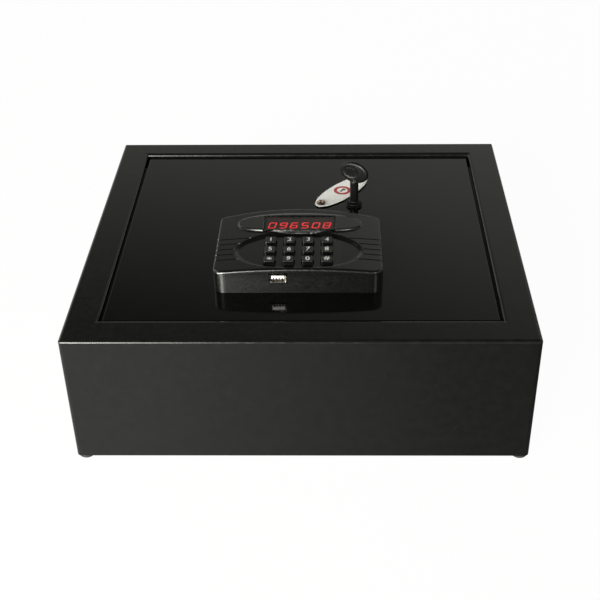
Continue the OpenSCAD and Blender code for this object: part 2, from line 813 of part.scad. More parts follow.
module cover_screws() color([0.2, 0.2, 0.2]) {
    for (p = cover_screw_places()) {
        post(p[0], p[1], lid_z - tray_wall - tray_screw_head_h, lid_z - tray_wall, tray_screw_head_r);
        post(p[0], p[1], lid_z - tray_wall, lid_z, screw_r);
    }
}

module bolt_bushings() color([0.75, 0.68, 0.4]) {
    for (sx = [-1, 1]) difference() {
        block(sx * bolt_x - bolt_r - bushing_side, sx * bolt_x + bolt_r + bushing_side,
            bushing_y0, bushing_y0 + bushing_len, bolt_z - bolt_r - bushing_base, lid_z);
        bar_y(sx * bolt_x, bushing_y0 - cut, bushing_y0 + bushing_len + cut, bolt_z, bolt_r + running);
    }
}

// Shouldered posts that hold the carriage up under the lid, in its slots
module guide_posts() color([0.7, 0.7, 0.7]) {
    for (p = guide_places) {
        post(p[0], p[1], carriage_z0 - seat, lid_z, guide_r);
        post(p[0], p[1], carriage_z0 - seat - guide_head_h, carriage_z0 - seat, guide_head_r);
        post(p[0], p[1], carriage_z1 + seat, lid_z, guide_head_r);
    }
}

module motor_bracket() color([0.7, 0.7, 0.7]) {
    x0 = motor_x - housing_half - motor_bracket_leg;
    x1 = motor_x + housing_half;
    y0 = motor_y - motor_bracket_half;
    y1 = motor_y + motor_bracket_half;
    difference() {
        block(x0, x1, y0, y1, housing_z1, motor_bracket_z1);
        post(motor_x, motor_y, housing_z1 - cut, motor_bracket_z1 + cut, motor_shaft_r + running);
    }
    block(x0, x0 + motor_bracket_t, y0, y1, motor_bracket_z1, lid_z);
    block(x0 - motor_bracket_foot, x0, y0, y1, lid_z - motor_bracket_t, lid_z);
}

module gear_housing() color([0.2, 0.2, 0.22]) difference() {
    block(motor_x - housing_half, motor_x + housing_half, motor_y - housing_half,
        motor_y + housing_half, housing_z0, housing_z1);
    post(motor_x, motor_y, housing_z1 - motor_shaft_len - 1, housing_z1 + cut, motor_shaft_r + running);
}

module drive_motor() color([0.75, 0.75, 0.75]) {
    x1 = motor_x - housing_half;
    bar_x(motor_rear_x, x1, motor_y, motor_z, motor_r);
    bar_x(motor_rear_x - motor_cap_h, motor_rear_x, motor_y, motor_z, motor_cap_r);
}

module battery_holder() color([0.08, 0.08, 0.08]) difference() {
    block(holder_x - holder_w / 2, holder_x + holder_w / 2, holder_y0, holder_y0 + holder_len,
        tray_in_z, tray_in_z + holder_h);
    block(holder_x - holder_w / 2 + holder_wall, holder_x + holder_w / 2 - holder_wall,
        holder_y0 + holder_wall, holder_y0 + holder_len - holder_wall,
        tray_in_z - cut, tray_in_z + holder_h - holder_wall);
}

module battery_cells() color([0.7, 0.55, 0.2]) {
    z = tray_in_z + holder_h - holder_wall - cell_r - cell_end;
    for (i = [0:3]) {
        x = holder_x + (i - 1.5) * cell_pitch;
        y0 = holder_y0 + holder_wall + cell_end;
        flip = i % 2;
        bar_y(x, y0 + cell_cap_h * flip, y0 + cell_len - cell_cap_h * (1 - flip), z, cell_r);
        cap_y = flip == 1 ? y0 : y0 + cell_len - cell_cap_h;
        bar_y(x, cap_y, cap_y + cell_cap_h, z, cell_cap_r);
    }
}

module reset_switch() color([0.12, 0.12, 0.14]) difference() {
    block(reset_x - reset_half, reset_x + reset_half, reset_y - reset_half, reset_y + reset_half,
        tray_in_z, tray_in_z + reset_h);
    post(reset_x, reset_y, tray_in_z - cut, tray_in_z + reset_depth, reset_r + 0.1);
}

module reset_button() color([0.7, 0.1, 0.08])
    post(reset_x, reset_y, tray_z - reset_proud, tray_in_z + reset_depth - reset_travel - 0.5, reset_r);

module limit_switch() color([0.1, 0.1, 0.1]) {
    y = carriage_y1 + limit_gap;
    x1 = limit_x0 + limit_w;
    block(limit_x0, x1, y, y + limit_d, lid_z - limit_h, lid_z);
    bar_y(x1 - limit_w / 2, y - limit_pin_len, y, (carriage_z0 + carriage_z1) / 2, limit_pin_r);
}

module lock_barrel() color([0.75, 0.75, 0.75]) difference() {
    post(lock_x, lock_y, barrel_z, lid_top, barrel_r);
    post(lock_x, lock_y, barrel_z - cut, lid_top + cut, plug_r + running);
}

module lock_nut() color([0.7, 0.7, 0.7]) difference() {
    translate([lock_x, lock_y, lid_z - lock_nut_h]) rotate([0, 0, 30])
        cylinder(h = lock_nut_h, r = lock_nut_r, $fn = 6);
    post(lock_x, lock_y, lid_z - lock_nut_h - cut, lid_z + cut, barrel_r + running);
}

module lock_plug() color([0.8, 0.75, 0.6]) difference() {
    union() {
        post(lock_x, lock_y, lock_pinion_z1, lid_top - plug_drop, plug_r);
        post(lock_x, lock_y, lock_pinion_z0 - 1, lock_pinion_z1, plug_tail_r);
    }
    post(lock_x, lock_y, lid_top - plug_bore, lid_top + cut, key_tube_r + running);
}

module lock_pinion() color([0.7, 0.7, 0.72]) difference() {
    translate([lock_x, lock_y, lock_pinion_z0]) rotate([0, 0, 180 + 180 / lock_teeth])
        linear_extrude(lock_pinion_z1 - lock_pinion_z0) polygon(pinion_outline(lock_teeth));
    post(lock_x, lock_y, lock_pinion_z0 - cut, lock_pinion_z1 + cut, plug_tail_r + press);
}

module motor_pinion() color([0.72, 0.66, 0.4]) {
    translate([motor_x, motor_y, pinion_z0]) rotate([0, 0, 180 / motor_teeth])
        linear_extrude(pinion_z1 - pinion_z0) polygon(pinion_outline(motor_teeth));
    post(motor_x, motor_y, housing_z1 - motor_shaft_len, pinion_z0, motor_shaft_r);
}

module bolt_carriage() color([0.68, 0.68, 0.7]) {
    flange_y = bolt_end_y;
    half = bolt_x + bolt_r + flange_side;
    slot_len = bolt_travel + 0.5;
    difference() {
        union() {
            block(-half, half, flange_y, flange_y + 12, carriage_z0, carriage_z1);
            block(strip_x0, strip_x1, flange_y, carriage_y1, carriage_z0, carriage_z1);
            block(-half, half, flange_y, flange_y + flange_t, bolt_z - bolt_r - 1, carriage_z0);
        }
        for (sx = [-1, 1])
            bar_y(sx * bolt_x, flange_y - cut, flange_y + flange_t + cut, bolt_z, spigot_r + press);
        for (p = guide_places) {
            block(p[0] - guide_r - guide_play, p[0] + guide_r + guide_play, p[1], p[1] + slot_len,
                carriage_z0 - cut, carriage_z1 + cut);
            for (y = [p[1], p[1] + slot_len])
                post(p[0], y, carriage_z0 - cut, carriage_z1 + cut, guide_r + guide_play);
        }
    }
    translate([-20, motor_y, carriage_z0]) mirror([1, 0, 0])
        linear_extrude(carriage_t) polygon(rack_outline(-3, 6, dedendum + 0.5));
    rack_back = lock_rack_x - strip_x1;
    rack_y0 = lock_y - 3.5 * PI * gear_module;
    rack_y1 = lock_y + 6.5 * PI * gear_module;
    translate([lock_rack_x, lock_y, rack_bar_z0])
        linear_extrude(rack_bar_z1 - rack_bar_z0) polygon(rack_outline(-3, 6, rack_back));
    block(strip_x1 - 3, strip_x1 + 0.1, rack_y0, rack_y1, rack_bar_z0, carriage_z0);
}

module lock_bolts() color([0.8, 0.8, 0.82]) {
    for (sx = [-1, 1]) {
        translate([sx * bolt_x, bolt_tip_y, bolt_z]) rotate([-90, 0, 0]) rotate_extrude()
            polygon([[0, 0], [bolt_r - 1.5, 0], [bolt_r, 1.5], [bolt_r, bolt_len], [0, bolt_len]]);
        bar_y(sx * bolt_x, bolt_end_y, bolt_end_y + flange_t + nut_h + 2, bolt_z, spigot_r);
    }
}

module bolt_nuts() color([0.6, 0.6, 0.6]) {
    for (sx = [-1, 1]) difference() {
        translate([sx * bolt_x, bolt_end_y + flange_t, bolt_z]) rotate([-90, 0, 0])
            cylinder(h = nut_h, r = nut_r, $fn = 6);
        bar_y(sx * bolt_x, bolt_end_y + flange_t - cut, bolt_end_y + flange_t + nut_h + cut,
            bolt_z, spigot_r + press);
    }
}

module cover_pivot() color([0.75, 0.7, 0.62]) {
    post(pivot_x, pivot_y, lid_z, cover_z + cover_t + seat, pivot_r);
    post(pivot_x, pivot_y, lid_top, cover_z - seat, pivot_washer_r);
    translate([pivot_x, pivot_y, cover_z + cover_t + seat]) difference() {
        rotate_extrude() polygon(concat([[0, 0], [pivot_head_r, 0]], [for (a = [0:15:90])
            [pivot_head_r * cos(a), pivot_head_edge + (pivot_head_h - pivot_head_edge) * sin(a)]]));
        for (turn = [20, 110]) rotate([0, 0, turn])
            block(-pivot_head_r * 0.6, pivot_head_r * 0.6, -pivot_recess_w / 2, pivot_recess_w / 2,
                pivot_head_h - pivot_recess_deep, pivot_head_h + cut);
    }
}

module keyhole_cover() color([0.88, 0.88, 0.88]) {
    translate([pivot_x, pivot_y, cover_z]) rotate([0, 0, cover_angle]) difference() {
        translate([pivot_d, 0, 0]) linear_extrude(cover_t) polygon(oval(cover_len / 2, cover_w / 2, 72));
        post(0, 0, -cut, cover_t + cut, pivot_r + running);
    }
}

module key_grip() color([0.07, 0.07, 0.07]) translate([lock_x, lock_y, lid_top]) {
    shaft_z = seat + key_collar_h;
    bow_z = shaft_z + key_shaft_len - key_overlap + bow_h / 2;
    rotate_extrude() polygon([[0, seat], [key_collar_r - 0.6, seat], [key_collar_r, seat + 0.6],
        [key_collar_r, shaft_z - 0.8], [key_collar_r - 0.8, shaft_z], [key_shaft_r, shaft_z],
        [key_shaft_r, shaft_z + key_shaft_len], [0, shaft_z + key_shaft_len]]);
    translate([0, 0, bow_z]) rotate([90, 0, bow_turn]) key_bow();
}

// The flat bow, with chamfered rims and a ribbed hollow in each face
module key_bow() difference() {
    hull() {
        linear_extrude(bow_t - 2 * bow_chamfer, center = true) polygon(oval(bow_w / 2, bow_h / 2, 64));
        linear_extrude(bow_t, center = true)
            polygon(oval(bow_w / 2 - bow_chamfer, bow_h / 2 - bow_chamfer, 64));
    }
    for (back = [0, 1]) mirror([0, 0, back]) translate([bow_hollow_x, 0, bow_t / 2 - bow_hollow_t])
        difference() {
            linear_extrude(bow_hollow_t + cut) polygon(oval(bow_hollow[0], bow_hollow[1], 48));
            for (i = [-1:1]) block(i * bow_rib_pitch - bow_rib_w / 2, i * bow_rib_pitch + bow_rib_w / 2,
                -bow_rib_h / 2, bow_rib_h / 2, -cut, bow_hollow_t - bow_rib_sunk);
        }
}

module key_tube() color([0.75, 0.75, 0.75])
    post(lock_x, lock_y, lid_top - key_tube_len, lid_top + seat, key_tube_r);

module cable_grommet() color([0.05, 0.05, 0.05]) difference() {
    union() {
        post(cable_x, cable_y, lid_z - grommet_rim, base_z + 0.5, cable_hole_r - 0.1);
        post(cable_x, cable_y, lid_z - grommet_rim, lid_z, cable_hole_r + grommet_rim);
    }
    post(cable_x, cable_y, lid_z - grommet_rim - cut, base_z + cut, cable_hole_r - 0.1 - grommet_wall);
}

// A route moved to its start, and led level along X to its end
function led(start, route, end) =
    concat([for (p = route) start + p], [[end[0] - cable_lead, end[1], end[2]], end]);

module wiring() color([0.12, 0.12, 0.12]) {
    tube(led([cable_x, cable_y, board_z - seat], console_route,
        [motor_rear_x - seat, motor_y - 4.5, motor_z - 1]), console_cable_r, 8, [0.2, 0.45, 0.87]);
    tube(led([holder_x, holder_y0 - seat, motor_z + 2], battery_route,
        [motor_rear_x - seat, motor_y + 4.8, motor_z + 2]), battery_cable_r, 8, [0, 0, 1]);
}

module console_base() color([0.08, 0.08, 0.08]) translate([console_x, con_y0, 0]) difference() {
    union() {
        translate([0, 0, lid_top]) linear_extrude(base_t)
            polygon(console_outline(console_wall + seat));
        for (x = screw_xs, y = screw_ys) post(x, y, base_z, board_z, pillar_r);
    }
    for (x = screw_xs, y = screw_ys) post(x, y, lid_top - cut, board_z + cut, screw_r + running);
    post(cable_x - console_x, cable_y - con_y0, lid_top - cut, base_z + cut, cable_hole_r);
}

module console_screws() color([0.25, 0.25, 0.25]) translate([console_x, con_y0, 0])
    for (x = screw_xs, y = screw_ys) {
        post(x, y, lid_z - screw_head_h, lid_z, screw_head_r);
        post(x, y, lid_z, board_z - 1, screw_r);
    }

module circuit_board() color([0.05, 0.3, 0.12]) translate([console_x, con_y0, 0])
    block(-con_hw + board_side, con_hw - board_side, board_y0, board_y1, board_z, board_top);

module keypad_mat() color([0.3, 0.3, 0.32]) translate([console_x, con_y0, 0]) {
    top = key_flange_z - key_flange_t - key_travel - seat;
    base = board_top + mat_base_t;
    block(key_cols[0] - mat_side, key_cols[3] + mat_side, key_rows[2] - mat_front,
        key_rows[0] + mat_back, board_top, base);
    for (x = key_cols, y = key_rows)
        translate([x, y, base]) cylinder(h = top - base, r1 = dome_r0, r2 = dome_r1);
}

module display_module() color([0.15, 0.03, 0.03]) translate([console_x, con_y0, 0])
    block(-display_half[0], display_half[0], window_cy - display_half[1], window_cy + display_half[1],
        board_top, window_z - window_t - seat);

module usb_socket() color([0.8, 0.8, 0.78]) {
    translate([console_x + usb_x, con_y0 - usb_proud, usb_cz]) {
        difference() {
            block(-usb_w / 2, usb_w / 2, 0, usb_len, -usb_h / 2, usb_h / 2);
            block(-usb_w / 2 + usb_shell, usb_w / 2 - usb_shell, -cut, usb_len - 2,
                -usb_h / 2 + usb_shell, usb_h / 2 - usb_shell);
        }
        block(-usb_tongue_w / 2, usb_tongue_w / 2, 2, usb_len - 1, 0.4, 2.3);
    }
}

// Everything below the crown, raised or lowered by the given height
module under_crown(raise) {
    translate([0, -cut, crown_z - crown_r + raise]) rotate([-90, 0, 0])
        cylinder(h = console_d + console_bow + 2 * cut, r = crown_r, $fn = 360);
}

// A body whose outline changes evenly as it rises
module tapered(low, high, low_outline, high_outline) hull() {
    translate([0, 0, low]) linear_extrude(thin) polygon(low_outline);
    translate([0, 0, high]) linear_extrude(thin) polygon(high_outline);
}

// The raised oval round the display, which leans in towards its top
module display_boss() translate([0, boss_y, 0])
    tapered(pan_z, crown_z + boss_rise + cut, full_oval(boss_a + boss_lean, boss_b + boss_lean, 72),
        full_oval(boss_a - boss_lean, boss_b - boss_lean, 72));

// The space over the keypad: an oval whose slope meets the crown at its rim
function dish_outline(z) =
    oval(dish_a + (z - dish_side_z) * dish_lean, dish_b + (z - crown_z) * dish_lean, 72);
module keypad_dish() translate([0, dish_y, 0])
    tapered(dish_low_z, crown_z + cut, dish_outline(dish_low_z), dish_outline(crown_z + cut));

module console_cover() color([0.09, 0.09, 0.09]) translate([console_x, con_y0, 0]) difference() {
    union() {
        intersection() {
            translate([0, 0, lid_top]) linear_extrude(console_h + crown + cut)
                polygon(console_outline(0));
            under_crown(0);
        }
        intersection() {
            display_boss();
            under_crown(boss_rise);
        }
    }
    difference() {
        intersection() {
            translate([0, 0, lid_top - cut]) linear_extrude(console_h + crown + cut)
                polygon(console_outline(console_wall));
            under_crown(-console_wall);
        }
        translate([0, dish_y, pan_z]) linear_extrude(crown) polygon(oval(dish_a + 2, dish_b + 2, 72));
    }
    difference() {
        keypad_dish();
        under_crown(-dish_drop);
        display_boss();
    }
    for (x = key_cols, y = key_rows) {
        hole = key_size / 2 + key_gap;
        block(x - hole, x + hole, y - hole, y + hole, pan_z - cut, crown_z + cut);
    }
    block(-window_w / 2 + window_ledge, window_w / 2 - window_ledge,
        window_cy - window_d / 2 + window_ledge, window_cy + window_d / 2 - window_ledge,
        pan_z - cut, crown_z + boss_rise + cut);
    block(-window_w / 2, window_w / 2, window_cy - window_d / 2, window_cy + window_d / 2,
        window_z - window_t, crown_z + boss_rise + cut);
    block(usb_x - usb_w / 2 - usb_play, usb_x + usb_w / 2 + usb_play, -cut, console_wall + cut,
        usb_cz - usb_h / 2 - usb_play, usb_cz + usb_h / 2 + usb_play);
    console_grooves();
}

// Fine grooves that run in from the sides to the dish
module console_grooves() {
    first = dish_y + 4 - groove_pitch * (groove_count - 1) / 2;
    difference() {
        for (i = [0:groove_count - 1]) {
            y = first + i * groove_pitch;
            block(-con_hw - cut, con_hw + cut, y - groove_w / 2, y + groove_w / 2,
                corner_z - crown, crown_z + cut);
        }
        under_crown(-groove_depth);
        translate([0, dish_y, corner_z - 2 * crown]) linear_extrude(4 * crown)
            polygon(oval(dish_a + 1, dish_b + 1, 72));
        block(-con_hw / 2, con_hw / 2, 0, console_d, corner_z - 2 * crown, crown_z + 2 * crown);
    }
}

module display_window() color([0.25, 0.02, 0.02]) translate([console_x, con_y0, 0])
    block(-window_w / 2 + window_play, window_w / 2 - window_play, window_cy - window_d / 2 + window_play,
        window_cy + window_d / 2 - window_play, window_z - window_t, window_z);

module battery_door() color([0.09, 0.09, 0.09]) {
    y0 = holder_y0 - 2;
    block(holder_x - door_w / 2, holder_x + door_w / 2, y0, y0 + door_len, door_z, door_z + door_t);
    for (i = [0:2])
        block(holder_x - 12, holder_x + 12, y0 + 4 + 3 * i, y0 + 5.5 + 3 * i, door_z - door_rib_h, door_z);
}

// One key: a cap with a flange that holds it under the cover
module key_cap(col, row) color([0.1, 0.1, 0.1]) {
    translate([console_x + key_cols[col], con_y0 + key_rows[row], 0]) {
        translate([0, 0, key_flange_z - key_flange_t]) linear_extrude(key_flange_t)
            rounded_rect(key_flange, key_flange, 0.8);
        translate([0, 0, key_flange_z])
            soft_slab(key_size, key_size, key_top_z - key_flange_z, key_corner_r, key_edge_r);
    }
}

module key_1() key_cap(0, 0);
module key_2() key_cap(1, 0);
module key_3() key_cap(2, 0);
module key_4() key_cap(3, 0);
module key_5() key_cap(0, 1);
module key_6() key_cap(1, 1);
module key_7() key_cap(2, 1);
module key_8() key_cap(3, 1);
module key_star() key_cap(0, 2);
module key_9() key_cap(1, 2);
module key_0() key_cap(2, 2);
module key_hash() key_cap(3, 2);

case_shell();
floor_plate();
rest_ledge();
lid_bumpers();
corner_feet();
floor_mat();
hinge_brackets();
hinge_pins();
hinge_springs();
lid_plate();
hinge_lugs();
mechanism_cover();
cover_screws();
bolt_bushings();
guide_posts();
motor_bracket();
gear_housing();
drive_motor();
battery_holder();
battery_cells();
reset_switch();
limit_switch();
lock_barrel();
lock_nut();
cover_pivot();
cable_grommet();
wiring();
console_base();
console_screws();
circuit_board();
keypad_mat();
display_module();
usb_socket();
console_cover();
display_window();
bolt_carriage();
lock_bolts();
bolt_nuts();
motor_pinion();
lock_plug();
lock_pinion();
key_grip();
key_tube();
keyhole_cover();
battery_door();
reset_button();
key_1();
key_2();
key_3();
key_4();
key_5();
key_6();
key_7();
key_8();
key_star();
key_9();
key_0();
key_hash();
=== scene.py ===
import json
import math

import bpy
import bmesh
import numpy as np
from mathutils import Matrix, Vector
from mathutils.geometry import delaunay_2d_cdt


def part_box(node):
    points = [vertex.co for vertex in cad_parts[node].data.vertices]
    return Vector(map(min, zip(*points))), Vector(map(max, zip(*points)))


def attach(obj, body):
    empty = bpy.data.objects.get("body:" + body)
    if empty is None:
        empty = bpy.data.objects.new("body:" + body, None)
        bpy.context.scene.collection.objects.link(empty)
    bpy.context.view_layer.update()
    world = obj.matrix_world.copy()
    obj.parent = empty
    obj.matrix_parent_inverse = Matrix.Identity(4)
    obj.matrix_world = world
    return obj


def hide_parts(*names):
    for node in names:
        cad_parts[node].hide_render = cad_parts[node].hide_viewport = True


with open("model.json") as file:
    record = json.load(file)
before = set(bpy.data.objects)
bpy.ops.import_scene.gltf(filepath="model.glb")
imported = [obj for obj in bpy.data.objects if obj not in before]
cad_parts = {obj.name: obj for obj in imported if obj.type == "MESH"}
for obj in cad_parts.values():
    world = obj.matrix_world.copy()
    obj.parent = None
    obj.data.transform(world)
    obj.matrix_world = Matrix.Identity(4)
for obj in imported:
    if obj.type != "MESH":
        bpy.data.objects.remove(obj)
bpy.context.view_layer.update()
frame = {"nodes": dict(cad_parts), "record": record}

record = frame["record"]
slot_of = {part["node"]: part["material_slot"] for part in record["subparts"]}
body_of = {node: body for body, nodes in record["behaviour"]["bodies"].items() for node in nodes}

# The camera, the lamps and the floor are placed in metres. All other sizes are in millimetres,
# and MM turns them into metres.
MM = 0.001


def edges_mm(node):
    """Lowest and highest corner of a CAD node, in millimetres."""
    low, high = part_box(node)
    return np.array(low) / MM, np.array(high) / MM


def new_object(name, data):
    thing = bpy.data.objects.new(name, data)
    bpy.context.scene.collection.objects.link(thing)
    return thing


# Nodes

def feed(tree, socket, value):
    """Links a socket, or a list of them, to an input, and sets any other value on it."""
    for item in value if isinstance(value, list) else [value]:
        if isinstance(item, bpy.types.NodeSocket):
            tree.links.new(item, socket)
        else:
            socket.default_value = item


def add_node(tree, kind, settings=None, order=(), **values):
    """Adds a node and feeds its inputs, some in their order and some by their names."""
    node = tree.nodes.new(kind)
    for key, value in (settings or {}).items():
        setattr(node, key, value)
    for socket, value in zip(node.inputs, order):
        feed(tree, socket, value)
    for key, value in values.items():
        feed(tree, node.inputs[key.replace("_", " ")], value)
    return node


def reckoned(tree, operation, *inputs, clamp=False):
    """The result of a Math node."""
    return add_node(tree, "ShaderNodeMath", {"operation": operation, "use_clamp": clamp}, inputs).outputs[0]


def mapped(tree, value, start, end, low, high, curve="LINEAR"):
    """A value mapped from start..end to low..high."""
    return add_node(tree, "ShaderNodeMapRange", {"interpolation_type": curve}, Value=value, From_Min=start,
                    From_Max=end, To_Min=low, To_Max=high).outputs["Result"]


def ramped(tree, value, stops):
    """The colour that a ramp gives to a value."""
    ramp = add_node(tree, "ShaderNodeValToRGB", Fac=value)
    elements = ramp.color_ramp.elements
    while len(elements) < len(stops):
        elements.new(0.5)
    for element, (at, colour) in zip(elements, stops):
        element.position = at
        element.color = (*colour, 1)
    return ramp.outputs["Color"]


def mixed(tree, factor, first, second):
    mix = add_node(tree, "ShaderNodeMix", {"data_type": "RGBA"}, Factor=factor, A=first, B=second)
    return mix.outputs["Result"]


# Camera and light

PICTURE_SIDE, FOCAL_PIXELS, MIDDLE_COLUMN, SENSOR_WIDTH = 600, 1094.4, 320.0, 36.0
CAMERA_PLACE = (0.02921, -0.89818, 0.66802)
CAMERA_YAW, CAMERA_PITCH, CAMERA_ROLL = 0.968, 34.66, -0.606

WARM, WHITE = (1.0, 1.0, 0.92), (1, 1, 1, 1)

# Name, place, aim, width and height, and watts
LAMPS = (("left_softbox", (-0.64, -0.68, 0.26), (0, 0, 0.06), (0.6, 0.4), 16.0),
         ("high_front_softbox", (-0.62, -1.3, 1.1), (0, 0, 0.1), (0.5, 0.4), 1.0),
         ("rear_left_softbox", (-1.1, 0.5, 1.0), (0, 0, 0.1), (0.9, 0.9), 3.4),
         ("right_softbox", (0.72, -1.05, 0.8), (0, 0, 0.1), (0.45, 0.25), 2.2))

# The world, by direction: levels of light by height, tilted a little to the left, an oval glow,
# and the band above the horizon where the white backdrop ends
STUDIO_UP = (-0.25, 0, 1)
STUDIO_LEVELS = ((0.0, 0.05), (0.2, 0.2), (0.35, 0.45), (0.42, 0.38), (0.48, 0.32), (0.54, 0.21),
                 (0.62, 0.06), (1.0, 0.03))
GLOW_FROM, GLOW_HALF_SIZE, GLOW_LEVEL = (-0.35, -0.83, 0.37), (0.34, 0.8, 0.31), 42.0
BACKDROP_ENDS = (0.06, 0.12)

# The floor: its share of white for the camera, and how white it looks in gloss from left to right, a painted
# light that falls off to the right as if lit from the left
FLOOR_REACH, FLOOR_PAPER, FLOOR_WHITE = 40.0, (0.62, 0.62, 0.6, 1), 0.97
FLOOR_FADE = 0.3
FLOOR_GLOSS_PAINTED_LIGHT = ((0.0, 0.62), (0.25, 0.58), (0.5, 0.36), (0.75, 0.14), (1.0, 0.07))


def add_camera():
    data = bpy.data.cameras.new("view")
    data.sensor_width = SENSOR_WIDTH
    data.lens = FOCAL_PIXELS * SENSOR_WIDTH / PICTURE_SIDE
    data.shift_x = (PICTURE_SIDE / 2 - MIDDLE_COLUMN) / PICTURE_SIDE
    data.clip_start = 0.01
    camera = new_object("view", data)
    turn = Matrix.Identity(4)
    for degrees, axis in ((CAMERA_YAW, "Z"), (90 - CAMERA_PITCH, "X"), (CAMERA_ROLL, "Z")):
        turn = turn @ Matrix.Rotation(math.radians(degrees), 4, axis)
    camera.matrix_world = Matrix.Translation(CAMERA_PLACE) @ turn
    bpy.context.scene.camera = camera


def add_lamp(name, place, aim, size, watts):
    data = bpy.data.lights.new(name, "AREA")
    data.shape = "RECTANGLE"
    data.size, data.size_y = size
    data.energy = watts
    data.color = WARM
    lamp = new_object(name, data)
    lamp.location = place
    lamp.rotation_euler = (Vector(aim) - Vector(place)).to_track_quat("-Z", "Y").to_euler()


def add_world():
    """A studio darker overhead, with a white backdrop low down and a soft glow in front on the left."""
    world = bpy.data.worlds.new("studio")
    world.use_nodes = True
    tree = world.node_tree
    direction = add_node(tree, "ShaderNodeTexCoord").outputs["Generated"]

    def vectors(operation, result, *inputs):
        return add_node(tree, "ShaderNodeVectorMath", {"operation": operation}, inputs).outputs[result]

    studio = ramped(tree, vectors("DOT_PRODUCT", "Value", direction, STUDIO_UP),
                    [(at, tuple(level * tone for tone in WARM)) for at, level in STUDIO_LEVELS])
    apart = vectors("DIVIDE", "Vector", vectors("SUBTRACT", "Vector", direction, GLOW_FROM), GLOW_HALF_SIZE)
    glow = mapped(tree, vectors("LENGTH", "Value", apart), 1, 0, 0, GLOW_LEVEL, "SMOOTHERSTEP")
    light = vectors("MULTIPLY_ADD", "Vector", glow, WARM, studio)
    height = add_node(tree, "ShaderNodeSeparateXYZ", Vector=direction).outputs["Z"]
    low_down = mapped(tree, height, BACKDROP_ENDS[1], BACKDROP_ENDS[0], 0, 1)
    in_view = add_node(tree, "ShaderNodeLightPath").outputs["Is Camera Ray"]
    background = tree.nodes["Background"].inputs
    whiteness = reckoned(tree, "ADD", low_down, in_view, clamp=True)
    feed(tree, background["Color"], mixed(tree, whiteness, light, WHITE))
    feed(tree, background["Strength"], 1.0)
    bpy.context.scene.world = world


def add_floor():
    """A floor of pale paper, almost white, that keeps a soft shadow, and in gloss shows painted light that
    darkens to the right.
    """
    mesh = bpy.data.meshes.new("studio_floor")
    corners = [(x * FLOOR_REACH, y * FLOOR_REACH, 0) for x, y in ((-1, -1), (1, -1), (1, 1), (-1, 1))]
    mesh.from_pydata(corners, [], [(0, 1, 2, 3)])
    material = bpy.data.materials.new("studio_floor")
    material.use_nodes = True
    tree = material.node_tree
    tree.nodes.clear()
    place = add_node(tree, "ShaderNodeTexCoord").outputs["Object"]
    across = mapped(tree, add_node(tree, "ShaderNodeSeparateXYZ", Vector=place).outputs["X"],
                    -FLOOR_FADE, FLOOR_FADE, 0, 1)
    rays = add_node(tree, "ShaderNodeLightPath").outputs
    # Painted light: in gloss the floor shows a brightness graded from left to right.
    painted_light_in_gloss = ramped(tree, across, [(at, (tone, tone, tone)) for at, tone in FLOOR_GLOSS_PAINTED_LIGHT])
    white = add_node(tree, "ShaderNodeEmission", Strength=1.0,
                     Color=mixed(tree, rays["Is Glossy Ray"], WHITE, painted_light_in_gloss)).outputs[0]
    paper = add_node(tree, "ShaderNodeBsdfDiffuse", Color=FLOOR_PAPER).outputs[0]
    share = reckoned(tree, "MULTIPLY", rays["Is Camera Ray"], FLOOR_WHITE)
    share = reckoned(tree, "ADD", share, rays["Is Glossy Ray"])
    share = reckoned(tree, "ADD", share, rays["Is Transmission Ray"], clamp=True)
    mix = add_node(tree, "ShaderNodeMixShader", None, (share, paper, white))
    add_node(tree, "ShaderNodeOutputMaterial", Surface=mix.outputs[0])
    mesh.materials.append(material)
    new_object("studio_floor", mesh)


# Finishes

class Finish:
    """A material on Object coordinates, built up step by step."""

    def __init__(self, name, colour, roughness, metallic=0.0, **shader_values):
        self.material = bpy.data.materials.new(name)
        self.material.use_nodes = True
        self.material.diffuse_color = (*colour, 1)
        self.tree = self.material.node_tree
        self.places = add_node(self.tree, "ShaderNodeTexCoord").outputs
        self.bump = None
        self.set(Base_Color=(*colour, 1), Roughness=roughness, Metallic=metallic, **shader_values)

    def set(self, **values):
        for key, value in values.items():
            feed(self.tree, self.tree.nodes["Principled BSDF"].inputs[key.replace("_", " ")], value)
        return self

    def axis(self, letter, output="Object"):
        """One coordinate of the place, or of the normal."""
        return add_node(self.tree, "ShaderNodeSeparateXYZ", Vector=self.places[output]).outputs[letter]

    def noise(self, size, detail=2.0, rough=0.5, stretch=(1, 1, 1)):
        """Noise whose blobs are about size millimetres across."""
        centre = add_node(self.tree, "ShaderNodeMapping", Vector=self.places["Object"], Scale=stretch)
        cloud = add_node(self.tree, "ShaderNodeTexNoise", Vector=centre.outputs["Vector"],
                         Scale=1 / (size * MM), Detail=detail, Roughness=rough)
        return cloud.outputs["Fac"]

    def tint(self, value, first, second, start=0.35, end=0.65):
        return self.set(Base_Color=ramped(self.tree, value, [(start, first), (end, second)]))

    def gloss(self, value, low, high, start=0.3, end=0.7):
        return self.set(Roughness=mapped(self.tree, value, start, end, low, high))

    def relief(self, value, depth):
        """Raises the surface by depth millimetres where the value is 1."""
        below = {"Normal": self.bump} if self.bump else {}
        bump = add_node(self.tree, "ShaderNodeBump", Strength=1.0, Distance=depth * MM, Height=value, **below)
        self.bump = bump.outputs["Normal"]
        return self.set(Normal=self.bump)


def scaled(colour, factor):
    return tuple(factor * c for c in colour)


def powder_coat(name, colour, roughness, peel):
    """Black powder coat with an orange peel."""
    coat = Finish(name, colour, roughness, IOR=1.5)
    return (coat.tint(coat.noise(9, 3.0), colour, scaled(colour, 1.35))
            .gloss(coat.noise(5), roughness - 0.05, roughness + 0.06)
            .relief(coat.noise(2.6, 1.0), peel).relief(coat.noise(0.7), 0.35 * peel))


